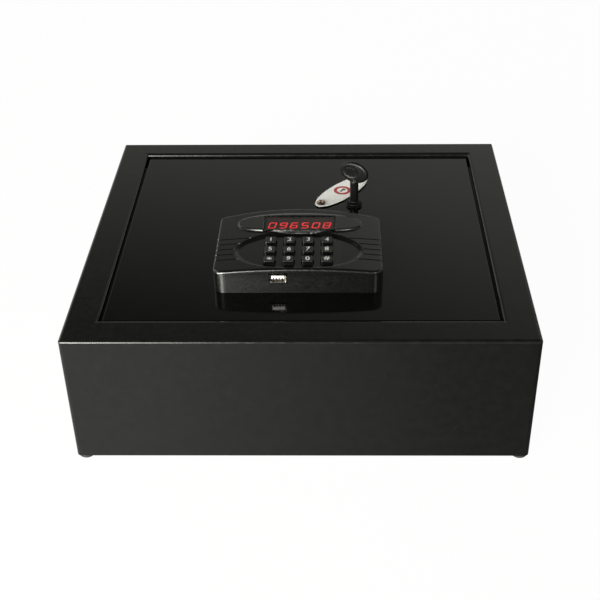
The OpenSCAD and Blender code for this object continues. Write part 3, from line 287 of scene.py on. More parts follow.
def smooth_paint(name, colour, roughness):
    """Wet paint that has run level, with faint waves and a few dull specks."""
    paint = Finish(name, colour, roughness, IOR=1.5)
    return (paint.tint(paint.noise(30), colour, scaled(colour, 1.2))
            .gloss(paint.noise(14, 3.0), roughness - 0.03, roughness + 0.05)
            .relief(paint.noise(6, 1.0), 0.004).relief(paint.noise(0.9), 0.0015))


def moulded_plastic(name, colour, roughness, grain, size=0.22, ior=1.65):
    """Plastic with the fine grain of its mould."""
    plastic = Finish(name, colour, roughness, IOR=ior)
    return (plastic.tint(plastic.noise(7), colour, scaled(colour, 1.25))
            .gloss(plastic.noise(1.5), roughness - 0.05, roughness + 0.07)
            .relief(plastic.noise(size, 1.0), grain))


def cap_plastic(name, top_colour, shaded_side_colour):
    """Key moulding: satin on top and polished down its sides, with painted shade that colours the sides
    darker than the top.
    """
    cap = Finish(name, top_colour, 0.3, IOR=1.49)
    upward = mapped(cap.tree, cap.axis("Z", "Normal"), 0.35, 0.75, 0, 1)
    # Painted shade: the colour darkens from the top to the sides by which way the face points.
    return (cap.tint(upward, shaded_side_colour, top_colour, 0, 1).gloss(upward, 0.12, 0.36, 0, 1)
            .relief(cap.noise(0.3, 1.0), 0.004))


def rubber(name, colour):
    gum = Finish(name, colour, 0.75, IOR=1.52)
    return (gum.tint(gum.noise(3, 3.0), colour, scaled(colour, 1.5)).gloss(gum.noise(1.0), 0.65, 0.85)
            .relief(gum.noise(0.35), 0.03))


def plated_steel(name, colour, roughness, warm):
    """Bright zinc plate with drawn lines along Y and a faint passivated tint."""
    steel = Finish(name, colour, roughness, metallic=1.0)
    return (steel.tint(steel.noise(5, 3.0), colour, warm)
            .gloss(steel.noise(0.6, 3.0, stretch=(1, 0.06, 1)), roughness - 0.06, roughness + 0.1)
            .relief(steel.noise(0.35, stretch=(1, 0.05, 1)), 0.006))


def bronze_dark_below_crown(name):
    """Bronze plate, dark low down on the screw's head and in its recess, and bright on its crown."""
    bright, dark = (0.5, 0.39, 0.31), (0.03, 0.022, 0.018)
    metal = Finish(name, bright, 0.25, metallic=1.0)
    crown = edges_mm("cover_pivot")[1][2]
    # The colour turns from dark to bright with height alone, just under the crown.
    toward_crown = mapped(metal.tree, metal.axis("Z"), (crown - 1.3) * MM, (crown - 0.8) * MM, 0, 1)
    return (metal.tint(toward_crown, dark, bright, 0, 1).gloss(metal.noise(0.8), 0.2, 0.34)
            .relief(metal.noise(0.4, 1.0), 0.004))


def turned_brass(name):
    brass = Finish(name, (0.68, 0.5, 0.22), 0.28, metallic=1.0)
    return (brass.tint(brass.noise(2.5, 3.0), (0.7, 0.52, 0.24), (0.55, 0.4, 0.18))
            .gloss(brass.noise(0.4, stretch=(1, 1, 6)), 0.2, 0.38)
            .relief(brass.noise(0.25, 1.0, stretch=(0.2, 0.2, 4)), 0.005))


def felt(name):
    """Needled felt: matted fibres with a soft sheen."""
    cloth = Finish(name, (0.03, 0.03, 0.033), 0.95, Sheen_Weight=0.35, Sheen_Roughness=0.5)
    fibres = cloth.noise(0.5, 6.0, 0.7, (1, 0.35, 1))
    return (cloth.tint(fibres, (0.012, 0.012, 0.014), (0.07, 0.07, 0.075)).relief(fibres, 0.25)
            .relief(cloth.noise(3.0, 4.0, 0.6), 0.3))


def enamel(name, colour, other):
    glaze = Finish(name, colour, 0.22, Coat_Weight=0.4, Coat_Roughness=0.08)
    return (glaze.tint(glaze.noise(4, 3.0), colour, other).gloss(glaze.noise(1.2), 0.2, 0.34)
            .relief(glaze.noise(1.1), 0.006))


def smoked_acrylic(name):
    sheet = Finish(name, (0.7, 0.44, 0.42), 0.09, IOR=1.47, Transmission_Weight=1.0)
    return sheet.gloss(sheet.noise(6, 3.0), 0.05, 0.11).relief(sheet.noise(9, 1.0), 0.002)


def lit(name, colour, cool, hot, strength):
    """A glowing part of the display, uneven as its diodes are: the lit bars, or the painted glow around them.
    """
    bar = Finish(name, colour, 0.5, Emission_Strength=strength)
    return bar.set(Emission_Color=ramped(bar.tree, bar.noise(1.2, 1.0), [(0.3, cool), (0.75, hot)]))


def cell_wrap(name):
    """Two colours of foil on a battery cell, with their border across Y."""
    wrap = Finish(name, (0.5, 0.36, 0.1), 0.3, metallic=0.6)
    band = mapped(wrap.tree, wrap.axis("Y"), 64 * MM, 66 * MM, 0, 1)
    return (wrap.tint(band, (0.012, 0.012, 0.014), (0.5, 0.3, 0.08), 0.4, 0.6)
            .gloss(wrap.noise(3), 0.22, 0.36).relief(wrap.noise(2), 0.01))


def solder_mask(name):
    """Green board with tracks under its mask."""
    board = Finish(name, (0.01, 0.11, 0.035), 0.35, Coat_Weight=0.3)
    tracks = board.noise(1.6, 0.0, stretch=(1, 0.2, 1))
    return board.tint(tracks, (0.01, 0.11, 0.035), (0.02, 0.2, 0.06)).relief(tracks, 0.05)


finishes = {
    "case_paint": powder_coat("black_powder_coat", (0.0034, 0.0034, 0.0032), 0.14, 0.018),
    "lid_paint": smooth_paint("black_lid_paint", (0.0016, 0.0016, 0.0016), 0.07),
    "inner_coat": powder_coat("inner_powder_coat", (0.012, 0.012, 0.0115), 0.42, 0.03),
    "rubber_black": rubber("black_rubber", (0.012, 0.012, 0.012)),
    "mat_felt": felt("grey_felt"),
    "zinc_steel": plated_steel("zinc_plate", (0.55, 0.55, 0.56), 0.3, (0.6, 0.57, 0.5)),
    "dark_screws": plated_steel("black_oxide", (0.05, 0.05, 0.052), 0.38, (0.08, 0.075, 0.07)),
    "brass": turned_brass("turned_brass"),
    "black_plastic": moulded_plastic("black_nylon", (0.013, 0.013, 0.013), 0.45, 0.02, 0.4),
    "console_plastic": moulded_plastic("console_plastic", (0.0015, 0.0015, 0.0014), 0.18, 0.004),
    # The keys' darker side colour is painted shade.
    "key_plastic": cap_plastic("key_plastic", (0.012, 0.012, 0.012), (0.002, 0.002, 0.002)),
    "cell_wrap": cell_wrap("cell_wrap"),
    "board_green": solder_mask("green_board"),
    "display_red": smoked_acrylic("smoked_red_acrylic"),
    "socket_metal": plated_steel("socket_nickel", (0.34, 0.33, 0.31), 0.22, (0.4, 0.38, 0.34)),
    "cover_white": enamel("white_enamel", (0.78, 0.775, 0.765), (0.8, 0.795, 0.785)),
    "pivot_nickel": bronze_dark_below_crown("pivot_bronze"),
    "reset_red": moulded_plastic("red_plastic", (0.42, 0.02, 0.015), 0.35, 0.006, 0.4),
    "lit_bar": lit("lit_bar", (0.6, 0.03, 0.03), (1.0, 0.02, 0.035), (1.0, 0.09, 0.11), 1.5),
    # Painted glow: the red halo around the digits.
    "lit_glow": lit("lit_glow", (0.2, 0.01, 0.01), (1.0, 0.005, 0.01), (1.0, 0.02, 0.02), 0.2),
    "red_print": enamel("red_print", (0.4, 0.035, 0.035), (0.34, 0.03, 0.03)),
    "grey_print": enamel("grey_print", (0.1, 0.1, 0.095), (0.08, 0.08, 0.08)),
    "key_moulding": moulded_plastic("key_moulding", (0.003, 0.003, 0.0029), 0.33, 0.004, 0.5, 1.3),
    "legend_print": enamel("legend_print", (0.55, 0.55, 0.54), (0.5, 0.5, 0.49)),
}


# Shaping

def evaluated_mesh(worker):
    """The plain mesh of an object with its modifiers applied; the object goes."""
    graph = bpy.context.evaluated_depsgraph_get()
    mesh = bpy.data.meshes.new_from_object(worker.evaluated_get(graph))
    bpy.data.objects.remove(worker)
    return mesh


def changed(mesh, kind, **settings):
    """The mesh with a modifier applied to it."""
    worker = new_object("working", mesh)
    modifier = worker.modifiers.new(kind, kind)
    for key, value in settings.items():
        setattr(modifier, key, value)
    return evaluated_mesh(worker)


def carved(mesh, cutter, operation="DIFFERENCE"):
    """The mesh with another one cut out of it or joined to it."""
    tool = new_object("cutter", cutter)
    result = changed(mesh, "BOOLEAN", operation=operation, solver="EXACT", object=tool)
    bpy.data.objects.remove(tool)
    return result


def rounded(mesh, width):
    """The mesh with its sharp edges rounded."""
    return changed(mesh, "BEVEL", width=width * MM, segments=2, limit_method="ANGLE",
                   angle_limit=math.radians(38), use_clamp_overlap=True)


def joined(mesh, distance, finish_off=None):
    """The mesh with vertices joined that lie within a distance, and one more step taken on it."""
    work = bmesh.new()
    work.from_mesh(mesh)
    bmesh.ops.remove_doubles(work, verts=work.verts, dist=distance * MM)
    if finish_off:
        finish_off(work)
    work.to_mesh(mesh)
    work.free()
    return mesh


def link_piece(name, mesh, finish, body, crease=32):
    """Makes a finished piece of a mesh that is already in its place."""
    mesh.shade_smooth()
    mesh.set_sharp_from_angle(angle=math.radians(crease))
    mesh = changed(mesh, "WEIGHTED_NORMAL", keep_sharp=True)
    mesh.name = name
    mesh.materials.clear()
    mesh.materials.append(finishes[finish].material)
    piece = new_object(name, mesh)
    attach(piece, body)
    return piece


def dress(node, mesh, crease=32, finish=None, name=None, slot=None):
    """Puts a finished mesh in the place of a CAD node, on that node's body."""
    slot = slot or slot_of[node]
    piece = link_piece(name or node + "_finished", mesh, finish or slot, body_of[node], crease)
    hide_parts(node)
    return piece


def soften(node, width):
    """Dresses a CAD node in its own shape with its edges broken, as a brake, a saw or a mould leaves them."""
    def flatten(work):
        bmesh.ops.dissolve_limit(work, angle_limit=math.radians(1.0), verts=work.verts, edges=work.edges)

    mesh = joined(frame["nodes"][node].data.copy(), 0.002, flatten)
    dress(node, rounded(mesh, width), finish="inner_coat" if node == "mechanism_cover" else None)


class Shape:
    """Faces gathered in millimetres and joined where they meet."""

    def __init__(self):
        self.points, self.faces = [], []

    def add(self, points, faces):
        first = len(self.points)
        self.points.extend(tuple(float(c) for c in p) for p in points)
        self.faces.extend(tuple(first + i for i in face) for face in faces)
        return self

    def loft(self, loops, left_out=None):
        """Quads between neighbouring loops of equal length, but for those left out by row and place."""
        count = len(loops[0])
        faces = []
        for row in range(len(loops) - 1):
            for i in range(count):
                if not (left_out and left_out(row, i)):
                    low, high, j = row * count, (row + 1) * count, (i + 1) % count
                    faces.append((low + i, low + j, high + j, high + i))
        return self.add([p for loop in loops for p in loop], faces)

    def cap(self, loop):
        """Closes a loop that can be seen whole from its middle."""
        count = len(loop)
        middle = np.mean(np.array(loop, float), axis=0)
        return self.add(list(loop) + [middle], [(i, (i + 1) % count, count) for i in range(count)])

    def solid(self, loops):
        """A lofted body with both ends closed."""
        return self.loft(loops).cap(loops[0]).cap(loops[-1])

    def box(self, low, high):
        (x0, y0, z0), (x1, y1, z1) = low, high
        corners = [(x, y, z) for z in (z0, z1) for x, y in ((x0, y0), (x1, y0), (x1, y1), (x0, y1))]
        sides = [(i, (i + 1) % 4, 4 + (i + 1) % 4, 4 + i) for i in range(4)]
        return self.add(corners, sides + [(3, 2, 1, 0), (4, 5, 6, 7)])

    def moved(self, place, degrees=0):
        """Turned about the upright axis and moved."""
        turn = Matrix.Rotation(math.radians(degrees), 3, "Z")
        self.points = [tuple(turn @ Vector(p) + Vector(place)) for p in self.points]
        return self

    def mesh(self, join=0.004):
        def close_up(work):
            bmesh.ops.dissolve_degenerate(work, edges=work.edges, dist=join * MM)
            bmesh.ops.recalc_face_normals(work, faces=work.faces)

        mesh = bpy.data.meshes.new("shape")
        mesh.from_pydata([tuple(c * MM for c in p) for p in self.points], [], self.faces)
        return joined(mesh, join, close_up)


def arc_points(middle, radius, start, end, count):
    """Points on an arc in plan, with both ends."""
    angles = np.radians(np.linspace(start, end, count + 1))
    return [(middle[0] + radius * math.cos(a), middle[1] + radius * math.sin(a)) for a in angles]


def circle(middle, radius, count):
    return arc_points(middle, radius, 0, 360, count)[:-1]


def round_rect(middle, half_x, half_y, radius, steps=5, splits=(1, 1)):
    """Loop of a rectangle with round corners; splits divides its sides along X and along Y."""
    arcs = []
    for sx, sy, start in ((1, 1, 0), (-1, 1, 90), (-1, -1, 180), (1, -1, 270)):
        centre = (middle[0] + sx * (half_x - radius), middle[1] + sy * (half_y - radius))
        arcs.append(arc_points(centre, radius, start, start + 90, steps))
    loop = []
    for index, points in enumerate(arcs):
        (x0, y0), (x1, y1) = points[-1], arcs[(index + 1) % 4][0]
        count = splits[index % 2]
        loop += points + [(x0 + (x1 - x0) * k / count, y0 + (y1 - y0) * k / count) for k in range(1, count)]
    return loop


def oval_loop(half, count, power=2.0):
    """Loop of an oval; a power above 2 squares it up."""
    angles = np.linspace(0, 2 * math.pi, count, endpoint=False)
    return [(half[0] * np.sign(i) * abs(i) ** (2 / power), half[1] * np.sign(j) * abs(j) ** (2 / power))
            for i, j in zip(np.cos(angles), np.sin(angles))]


def shrunk_oval(half, inset, middle, count, power=2.0):
    """Loop inside an oval, every point inset from its edge."""
    base = np.array(oval_loop(half, count, power))
    normal = np.sign(base) * (np.abs(base) / half) ** (power - 1) / half
    normal /= np.linalg.norm(normal, axis=1)[:, None] + 1e-9
    return [(x, y + middle) for x, y in base - inset * normal]


def at_height(loop, z):
    return [(x, y, z) for x, y in loop]


def turned(profile, middle, sides=48):
    """Mesh turned about an upright axis from (radius, height) pairs that start and end on the axis."""
    angles = np.linspace(0, 2 * math.pi, sides, endpoint=False)
    around = [(math.cos(a), math.sin(a)) for a in angles]
    return Shape().solid([[(middle[0] + radius * x, middle[1] + radius * y, z) for x, y in around]
                          for radius, z in profile]).mesh()


def ease(t):
    t = np.clip(t, 0, 1)
    return t * t * (3 - 2 * t)


def inside_loop(points, loop):
    """True for each point inside a closed loop."""
    x, y = points[:, 0], points[:, 1]
    inside = np.zeros(len(points), bool)
    for (x0, y0), (x1, y1) in zip(loop, loop[1:] + loop[:1]):
        if y0 != y1:
            inside ^= ((y0 > y) != (y1 > y)) & (x < (x1 - x0) * (y - y0) / (y1 - y0) + x0)
    return inside


def clear_runs(path, holes, room=0.5):
    """The stretches of a path that stay outside the holes and a little away from them."""
    spots = np.array(path)
    clear = np.ones(len(spots), bool)
    for hole in holes:
        gaps = np.linalg.norm(spots[:, None] - np.array(hole)[None], axis=2).min(axis=1)
        clear &= ~inside_loop(spots, hole) & (gaps > room)
    runs = [[]]
    for spot, good in zip(path, clear):
        if good:
            runs[-1].append(spot)
        else:
            runs.append([])
    return [run for run in runs if len(run) > 1]


def filled_plan(outer, holes, lines, step):
    """Triangles that fill the outline around its holes, with the lines among their edges."""
    points, edges = [], []

    def chain(path, closed):
        first = len(points)
        points.extend(path)
        edges.extend((first + i, first + i + 1) for i in range(len(path) - 1))
        if closed:
            edges.append((first + len(path) - 1, first))

    for loop in [outer] + holes:
        chain(loop, True)
    for path, closed in lines:
        for run in clear_runs(path + path[:1] if closed else path, holes):
            chain(run, False)
    fixed = np.array(points)
    low, high = fixed.min(axis=0), fixed.max(axis=0)
    for row, y in enumerate(np.arange(low[1] + step, high[1], step * 0.87)):
        for x in np.arange(low[0] + step * (1 + row % 2 / 2), high[0], step):
            if np.min((fixed[:, 0] - x) ** 2 + (fixed[:, 1] - y) ** 2) > (0.62 * step) ** 2:
                points.append((x, y))
    found = delaunay_2d_cdt([Vector(p) for p in points], edges, [], 0, 1e-5)
    plan = np.array([tuple(p) for p in found[0]])
    faces = np.array([tuple(f) for f in found[2]])
    centres = plan[faces].mean(axis=1)
    keep = inside_loop(centres, outer)
    for hole in holes:
        keep &= ~inside_loop(centres, hole)
    return plan, faces[keep]


# Geometry Nodes

def run_tree(mesh, name, sizes, sides, finish, build):
    """The plain mesh that a tree of Geometry Nodes makes of a mesh, with sizes in millimetres."""
    tree = bpy.data.node_groups.new(name, "GeometryNodeTree")
    kinds = {"Geometry": "Geometry", **dict.fromkeys(sizes, "Float"), "Sides": "Int", "Finish": "Material"}
    for socket, kind in kinds.items():
        tree.interface.new_socket(socket, in_out="INPUT", socket_type="NodeSocket" + kind)
    tree.interface.new_socket("Geometry", in_out="OUTPUT", socket_type="NodeSocketGeometry")
    given = tree.nodes.new("NodeGroupInput").outputs
    real = add_node(tree, "GeometryNodeRealizeInstances", Geometry=build(tree, given))
    painted = add_node(tree, "GeometryNodeSetMaterial", Geometry=real.outputs[0], Material=given["Finish"])
    add_node(tree, "NodeGroupOutput", Geometry=painted.outputs[0])
    worker = new_object("working", mesh)
    modifier = worker.modifiers.new("tree", "NODES")
    modifier.node_group = tree
    values = {**{size: value * MM for size, value in sizes.items()}, "Sides": sides,
              "Finish": finishes[finish].material}
    for item in tree.interface.items_tree:
        if item.in_out == "INPUT" and item.name in values:
            modifier[item.identifier] = values[item.name]
    return evaluated_mesh(worker)


def screw_nodes(tree, given):
    """Pan head screws with a cross recess, one at each vertex, heads down."""
    head_radius, head_height = given["Head Radius"], given["Head Height"]
    shank_length = given["Shank Length"]

    def node(kind, **inputs):
        return add_node(tree, "GeometryNode" + kind, **inputs).outputs[0]

    def times(size, factor):
        return reckoned(tree, "MULTIPLY", size, factor)

    def vector(x, y, z):
        return add_node(tree, "ShaderNodeCombineXYZ", X=x, Y=y, Z=z).outputs[0]

    def shifted(geometry, z):
        return node("Transform", Geometry=geometry, Translation=vector(0, 0, z))

    def boolean(operation, *first, others):
        return add_node(tree, "GeometryNodeMeshBoolean", {"operation": operation, "solver": "EXACT"},
                        first, **{"Mesh 2": others}).outputs[0]

    ball = node("MeshUVSphere", Segments=24, Rings=16, Radius=head_radius)
    flatness = reckoned(tree, "DIVIDE", head_height, head_radius)
    ball = node("Transform", Geometry=ball, Scale=vector(1, 1, flatness))
    width = times(head_radius, 3.0)
    around = node("MeshCube", Size=vector(width, width, times(head_height, 2.0)))
    head = boolean("INTERSECT", others=[ball, shifted(around, times(head_height, -1.0))])
    arms = []
    for turn in (1, -1):
        arm = (times(head_radius, 1.1), times(head_radius, 0.26))[::turn]
        arms.append(shifted(node("MeshCube", Size=vector(*arm, head_height)), times(head_height, -0.95)))
    head = boolean("DIFFERENCE", head, others=arms)
    shank = node("MeshCylinder", Vertices=given["Sides"], Radius=given["Shank Radius"], Depth=shank_length)
    screw = node("JoinGeometry", Geometry=[head, shifted(shank, times(shank_length, 0.5))])
    return node("InstanceOnPoints", Points=given["Geometry"], Instance=screw)


def wire_nodes(tree, given):
    """Round wire along a path."""
    curve = add_node(tree, "GeometryNodeMeshToCurve", None, (given["Geometry"],)).outputs[0]
    ring = add_node(tree, "GeometryNodeCurvePrimitiveCircle", Radius=given["Radius"],
                    Resolution=given["Sides"])
    return add_node(tree, "GeometryNodeCurveToMesh", Curve=curve, Profile_Curve=ring.outputs[0],
                    Fill_Caps=True).outputs[0]


def screws(node, spots, head, shank):
    """Dresses a node that holds several screws in pan head screws, heads down."""
    points = bpy.data.meshes.new("screw_places")
    points.from_pydata([tuple(c * MM for c in spot) for spot in spots], [], [])
    sizes = dict(zip(("Head Radius", "Head Height", "Shank Radius", "Shank Length"), head + shank))
    dress(node, run_tree(points, "pan_head_screws", sizes, 16, slot_of[node], screw_nodes))


def wires(node, paths, radius, sides, name=None, slot=None):
    """Dresses a node in round wire along paths of points."""
    points, edges = [], []
    for path in paths:
        edges += [(len(points) + i, len(points) + i + 1) for i in range(len(path) - 1)]
        points += [tuple(c * MM for c in p) for p in path]
    mesh = bpy.data.meshes.new("path")
    mesh.from_pydata(points, edges, [])
    mesh = run_tree(mesh, "round_wire", {"Radius": radius}, sides, slot or slot_of[node], wire_nodes)
    return dress(node, mesh, 60, name=name, slot=slot)


# Console cover, drawn from the middle of its front foot: u to the right and v to the rear

cover_low, cover_high = edges_mm("console_cover")
MIDDLE_X, FRONT_Y, LID_TOP = (cover_low[0] + cover_high[0]) / 2, cover_low[1], cover_low[2]
HALF_WIDTH = (cover_high[0] - cover_low[0]) / 2
COVER_WALL, FOOT_EDGE = 2.2, 0.25
RIM_ROUND, RIM_STEPS = COVER_WALL, 6
BOSS_MIDDLE, BOSS_HALF, BOSS_POWER = 81.0, (57.5, 17.5), 2.7
BOSS_RISE, BOSS_FALL, BOSS_SLOPES = 2.2, 0.6, (2.0, 7.0)
BOSS_LINES = (0.0, 0.35, 0.7, 1.05, 1.4, 1.75, 2.1, 3.5)
CROWN = 3.8
CROWN_TOP = cover_high[2] - BOSS_RISE
CROWN_RADIUS = (HALF_WIDTH ** 2 + CROWN ** 2) / (2 * CROWN)
REAR_BOW = 10.5
BOW_RADIUS = (HALF_WIDTH ** 2 + REAR_BOW ** 2) / (2 * REAR_BOW)
BOW_MIDDLE = cover_high[1] - FRONT_Y - BOW_RADIUS
FRONT_CORNER, REAR_CORNER = 10.0, 5.0
FRONT_LEAN, LEAN_REACH = 0.075, 14.0
DISH_MIDDLE, DISH_HALF, DISH_DEPTH, DISH_SLOPE = 34.5, (57.5, 32.5), 2.2, 4.2
DISH_FLOOR_LIMIT, PAN_DROP, PAN_MARGIN = 3.2, 4.2, 2
DISH_LINES = (0.0, 0.7, 1.4, 2.1, 2.8, 3.5, 4.2)
GROOVE_PITCH, GROOVE_COUNT, GROOVE_HALF, GROOVE_DEPTH, GROOVE_BANK = 8.6, 5, 0.7, 1.1, 0.2
GROOVE_LINES = (-1, -0.8, 0, 0.8, 1)
GROOVES_MIDDLE = DISH_MIDDLE + 4
GROOVE_ROWS = [GROOVES_MIDDLE + (i - (GROOVE_COUNT - 1) / 2) * GROOVE_PITCH for i in range(GROOVE_COUNT)]
KEY_PITCH, KEYS_MIDDLE = (16.8, 16.0), 32.8
KEY_PLACES = [((i - 1.5) * KEY_PITCH[0], KEYS_MIDDLE + row * KEY_PITCH[1])
              for row in (1, 0, -1) for i in range(4)]
KEY_HOLE_HALF, KEY_HOLE_CORNER, HOLE_EDGE = 5.4, 0.9, 0.3
window_low, window_high = edges_mm("display_window")
WINDOW_HALF, WINDOW_CORNER, WINDOW_LEDGE = (33.0, 12.5), 0.5, 2.0
WINDOW_MIDDLE = (window_low[1] + window_high[1]) / 2 - FRONT_Y
usb_low, usb_high = edges_mm("usb_socket")
USB_PLAY = 0.7
USB_SIDES = (usb_low[0] - MIDDLE_X - USB_PLAY, usb_high[0] - MIDDLE_X + USB_PLAY)
USB_BOTTOM, USB_TOP = usb_low[2] - USB_PLAY, usb_high[2] + USB_PLAY
PLAN_STEP = 1.3


def crown_height(u):
    return CROWN_TOP - CROWN_RADIUS + np.sqrt(CROWN_RADIUS ** 2 - u ** 2)


def inside_oval(u, v, half, power=2.0):
    """Distance in from an oval's edge: close to true near the edge, negative outside."""
    a, b = np.abs(u) / half[0] + 1e-9, np.abs(v) / half[1] + 1e-9
    reach = (a ** power + b ** power) ** (1 / power)
    grade = np.hypot(a ** (power - 1) / half[0], b ** (power - 1) / half[1]) * reach ** (1 - power)
    return (1 - reach) / grade


def cover_top(u, v):
    """Height of the cover's outer face, without its rounded rim."""
    crown = crown_height(u)
    dish_in = inside_oval(u, v - DISH_MIDDLE, DISH_HALF)
    floor = np.maximum(crown - DISH_DEPTH, CROWN_TOP - DISH_FLOOR_LIMIT)
    dished = crown - (crown - floor) * ease(dish_in / DISH_SLOPE)
    rearward = np.clip((v - BOSS_MIDDLE + BOSS_HALF[1]) / (2 * BOSS_HALF[1]), 0, 1)
    slope = BOSS_SLOPES[0] + (BOSS_SLOPES[1] - BOSS_SLOPES[0]) * ease((rearward - 0.6) / 0.4)
    raised = ease(inside_oval(u, v - BOSS_MIDDLE, BOSS_HALF, BOSS_POWER) / slope)
    height = dished + (crown + BOSS_RISE - BOSS_FALL * rearward - dished) * raised
    beside = ease((-dish_in - 0.8) / 1.2) * ease((np.abs(u) - HALF_WIDTH / 2) / 2) * (1 - raised)
    beside = beside * ease((HALF_WIDTH - 0.8 - np.abs(u)) / 2)
    for row in GROOVE_ROWS:
        notch = np.clip((1 - np.abs(v - row) / GROOVE_HALF) / GROOVE_BANK, 0, 1)
        height = height - GROOVE_DEPTH * notch * beside
    return height


def cover_underside(u, v):
    below = crown_height(u) - COVER_WALL
    in_pan = inside_oval(u, v - DISH_MIDDLE, [half + PAN_MARGIN for half in DISH_HALF]) > 0
    return np.where(in_pan, np.minimum(below, CROWN_TOP - PAN_DROP), below)


def cover_outline(inset):
    """Plan of the cover drawn in by a distance; every inset has the same number of points."""
    flat = HALF_WIDTH - FRONT_CORNER
    usb = [round(u, 3) for u in USB_SIDES]
    front = sorted({round(float(x), 3) for x in np.linspace(-flat, flat, 56)} | set(usb))
    front = [x for x in front if x in usb or min(abs(x - u) for u in usb) > 0.9]
    fx = HALF_WIDTH - REAR_CORNER
    fy = BOW_MIDDLE + math.sqrt((BOW_RADIUS - REAR_CORNER) ** 2 - fx ** 2)
    turn = math.degrees(math.atan2(fy - BOW_MIDDLE, fx))
    notches = [row + k * GROOVE_HALF for row in GROOVE_ROWS for k in GROOVE_LINES]
    spread = [y for y in np.linspace(FRONT_CORNER, fy, 50) if min(abs(y - n) for n in notches) > 0.6]
    side = [y for y in sorted(notches + spread) if FRONT_CORNER < y < fy]
    loop = [(x, inset) for x in front]
    loop += arc_points((flat, FRONT_CORNER), FRONT_CORNER - inset, -90, 0, 10)[1:]
    loop += [(HALF_WIDTH - inset, y) for y in side]
    loop += arc_points((fx, fy), REAR_CORNER - inset, 0, turn, 6)
    loop += arc_points((0, BOW_MIDDLE), BOW_RADIUS - inset, turn, 180 - turn, 96)[1:-1]
    loop += arc_points((-fx, fy), REAR_CORNER - inset, 180 - turn, 180, 6)
    loop += [(-HALF_WIDTH + inset, y) for y in side[::-1]]
    loop += arc_points((-flat, FRONT_CORNER), FRONT_CORNER - inset, 180, 270, 10)[:-1]
    return loop


def on(loop, height, shift=0.0):
    """A loop laid on the cover's top or underside."""
    flat = np.array(loop)
    return np.column_stack([flat, height(flat[:, 0], flat[:, 1]) + shift])


def key_loop(spot, grow=0.0):
    half = KEY_HOLE_HALF + grow
    return round_rect(spot, half, half, KEY_HOLE_CORNER + grow, 3, (7, 7))


def window_loop(grow=0.0):
    half_x, half_y = (half + grow for half in WINDOW_HALF)
    return round_rect((0, WINDOW_MIDDLE), half_x, half_y, WINDOW_CORNER + max(grow, 0), 3, (50, 19))


def cover_faces():
    """The cover's top and underside, with the walls of their holes."""
    shape = Shape()
    holes = [key_loop(spot, HOLE_EDGE) for spot in KEY_PLACES] + [window_loop(HOLE_EDGE)]
    lines = [(shrunk_oval(DISH_HALF, inset, DISH_MIDDLE, 150), True) for inset in DISH_LINES]
    lines += [(shrunk_oval(BOSS_HALF, inset, BOSS_MIDDLE, 220, BOSS_POWER), True) for inset in BOSS_LINES]
    ends = np.linspace(HALF_WIDTH / 2, HALF_WIDTH - RIM_ROUND, 24)
    lines += [([(side * x, row + k * GROOVE_HALF) for x in ends], False)
              for row in GROOVE_ROWS for k in GROOVE_LINES for side in (-1, 1)]
    plan, faces = filled_plan(cover_outline(RIM_ROUND), holes, lines, PLAN_STEP)
    shape.add(on(plan, cover_top), faces).add(on(plan, cover_underside), faces[:, ::-1])
    for spot in KEY_PLACES:
        rim, bore = key_loop(spot, HOLE_EDGE), key_loop(spot)
        shape.loft([on(rim, cover_top), on(bore, cover_top, -HOLE_EDGE), on(bore, cover_underside),
                    on(rim, cover_underside)])
    rim, bore, inner_bore = window_loop(HOLE_EDGE), window_loop(), window_loop(-WINDOW_LEDGE)
    seat = window_low[2]
    return shape.loft([on(rim, cover_top), on(bore, cover_top, -HOLE_EDGE), at_height(bore, seat),
                       at_height(inner_bore, seat), on(inner_bore, cover_underside),
                       on(rim, cover_underside)])


def build_console_cover():
    shape = cover_faces()
    rims = []
    for step in range(RIM_STEPS + 1):
        a = math.pi / 2 * (1 - step / RIM_STEPS)
        plan = cover_outline(RIM_ROUND * (1 - math.cos(a)))
        rims.append(on(plan, cover_top, -RIM_ROUND * (1 - math.sin(a))))
    shape.loft(rims)
    outer_plan, inner_plan = cover_outline(0), cover_outline(COVER_WALL)
    ceiling = [min(USB_TOP, p[2] - 0.4) for p in rims[-1]]

    def wall(plan, highest):
        return [at_height(plan, LID_TOP + FOOT_EDGE), at_height(plan, USB_BOTTOM),
                [(x, y, z) for (x, y), z in zip(plan, ceiling)], highest]

    def at_usb(row, i):
        us, vs = zip(outer_plan[i], outer_plan[(i + 1) % len(outer_plan)])
        left, right = USB_SIDES
        return row == 1 and max(vs) < 0.01 and min(us) > left - 0.01 and max(us) < right + 0.01

    outer, inner = wall(outer_plan, rims[-1]), wall(inner_plan, on(inner_plan, cover_underside))
    shape.loft(outer, at_usb).loft(inner, at_usb)
    foot = cover_outline(FOOT_EDGE)
    shape.loft([outer[0], at_height(foot, LID_TOP), at_height(inner_plan, LID_TOP), inner[0]])
    opening = [i for i in range(len(outer_plan)) if at_usb(1, i)]
    opening.append(opening[-1] + 1)
    shape.loft([[rows[1][i] for i in opening] + [rows[2][i] for i in opening[::-1]]
                for rows in (outer, inner)])
    shape.points = [(u, v + FRONT_LEAN * (z - LID_TOP) * max(0, 1 - v / LEAN_REACH), z)
                    for u, v, z in shape.points]
    dress("console_cover", shape.moved((MIDDLE_X, FRONT_Y, 0)).mesh(), 40)


# Keys, display and socket

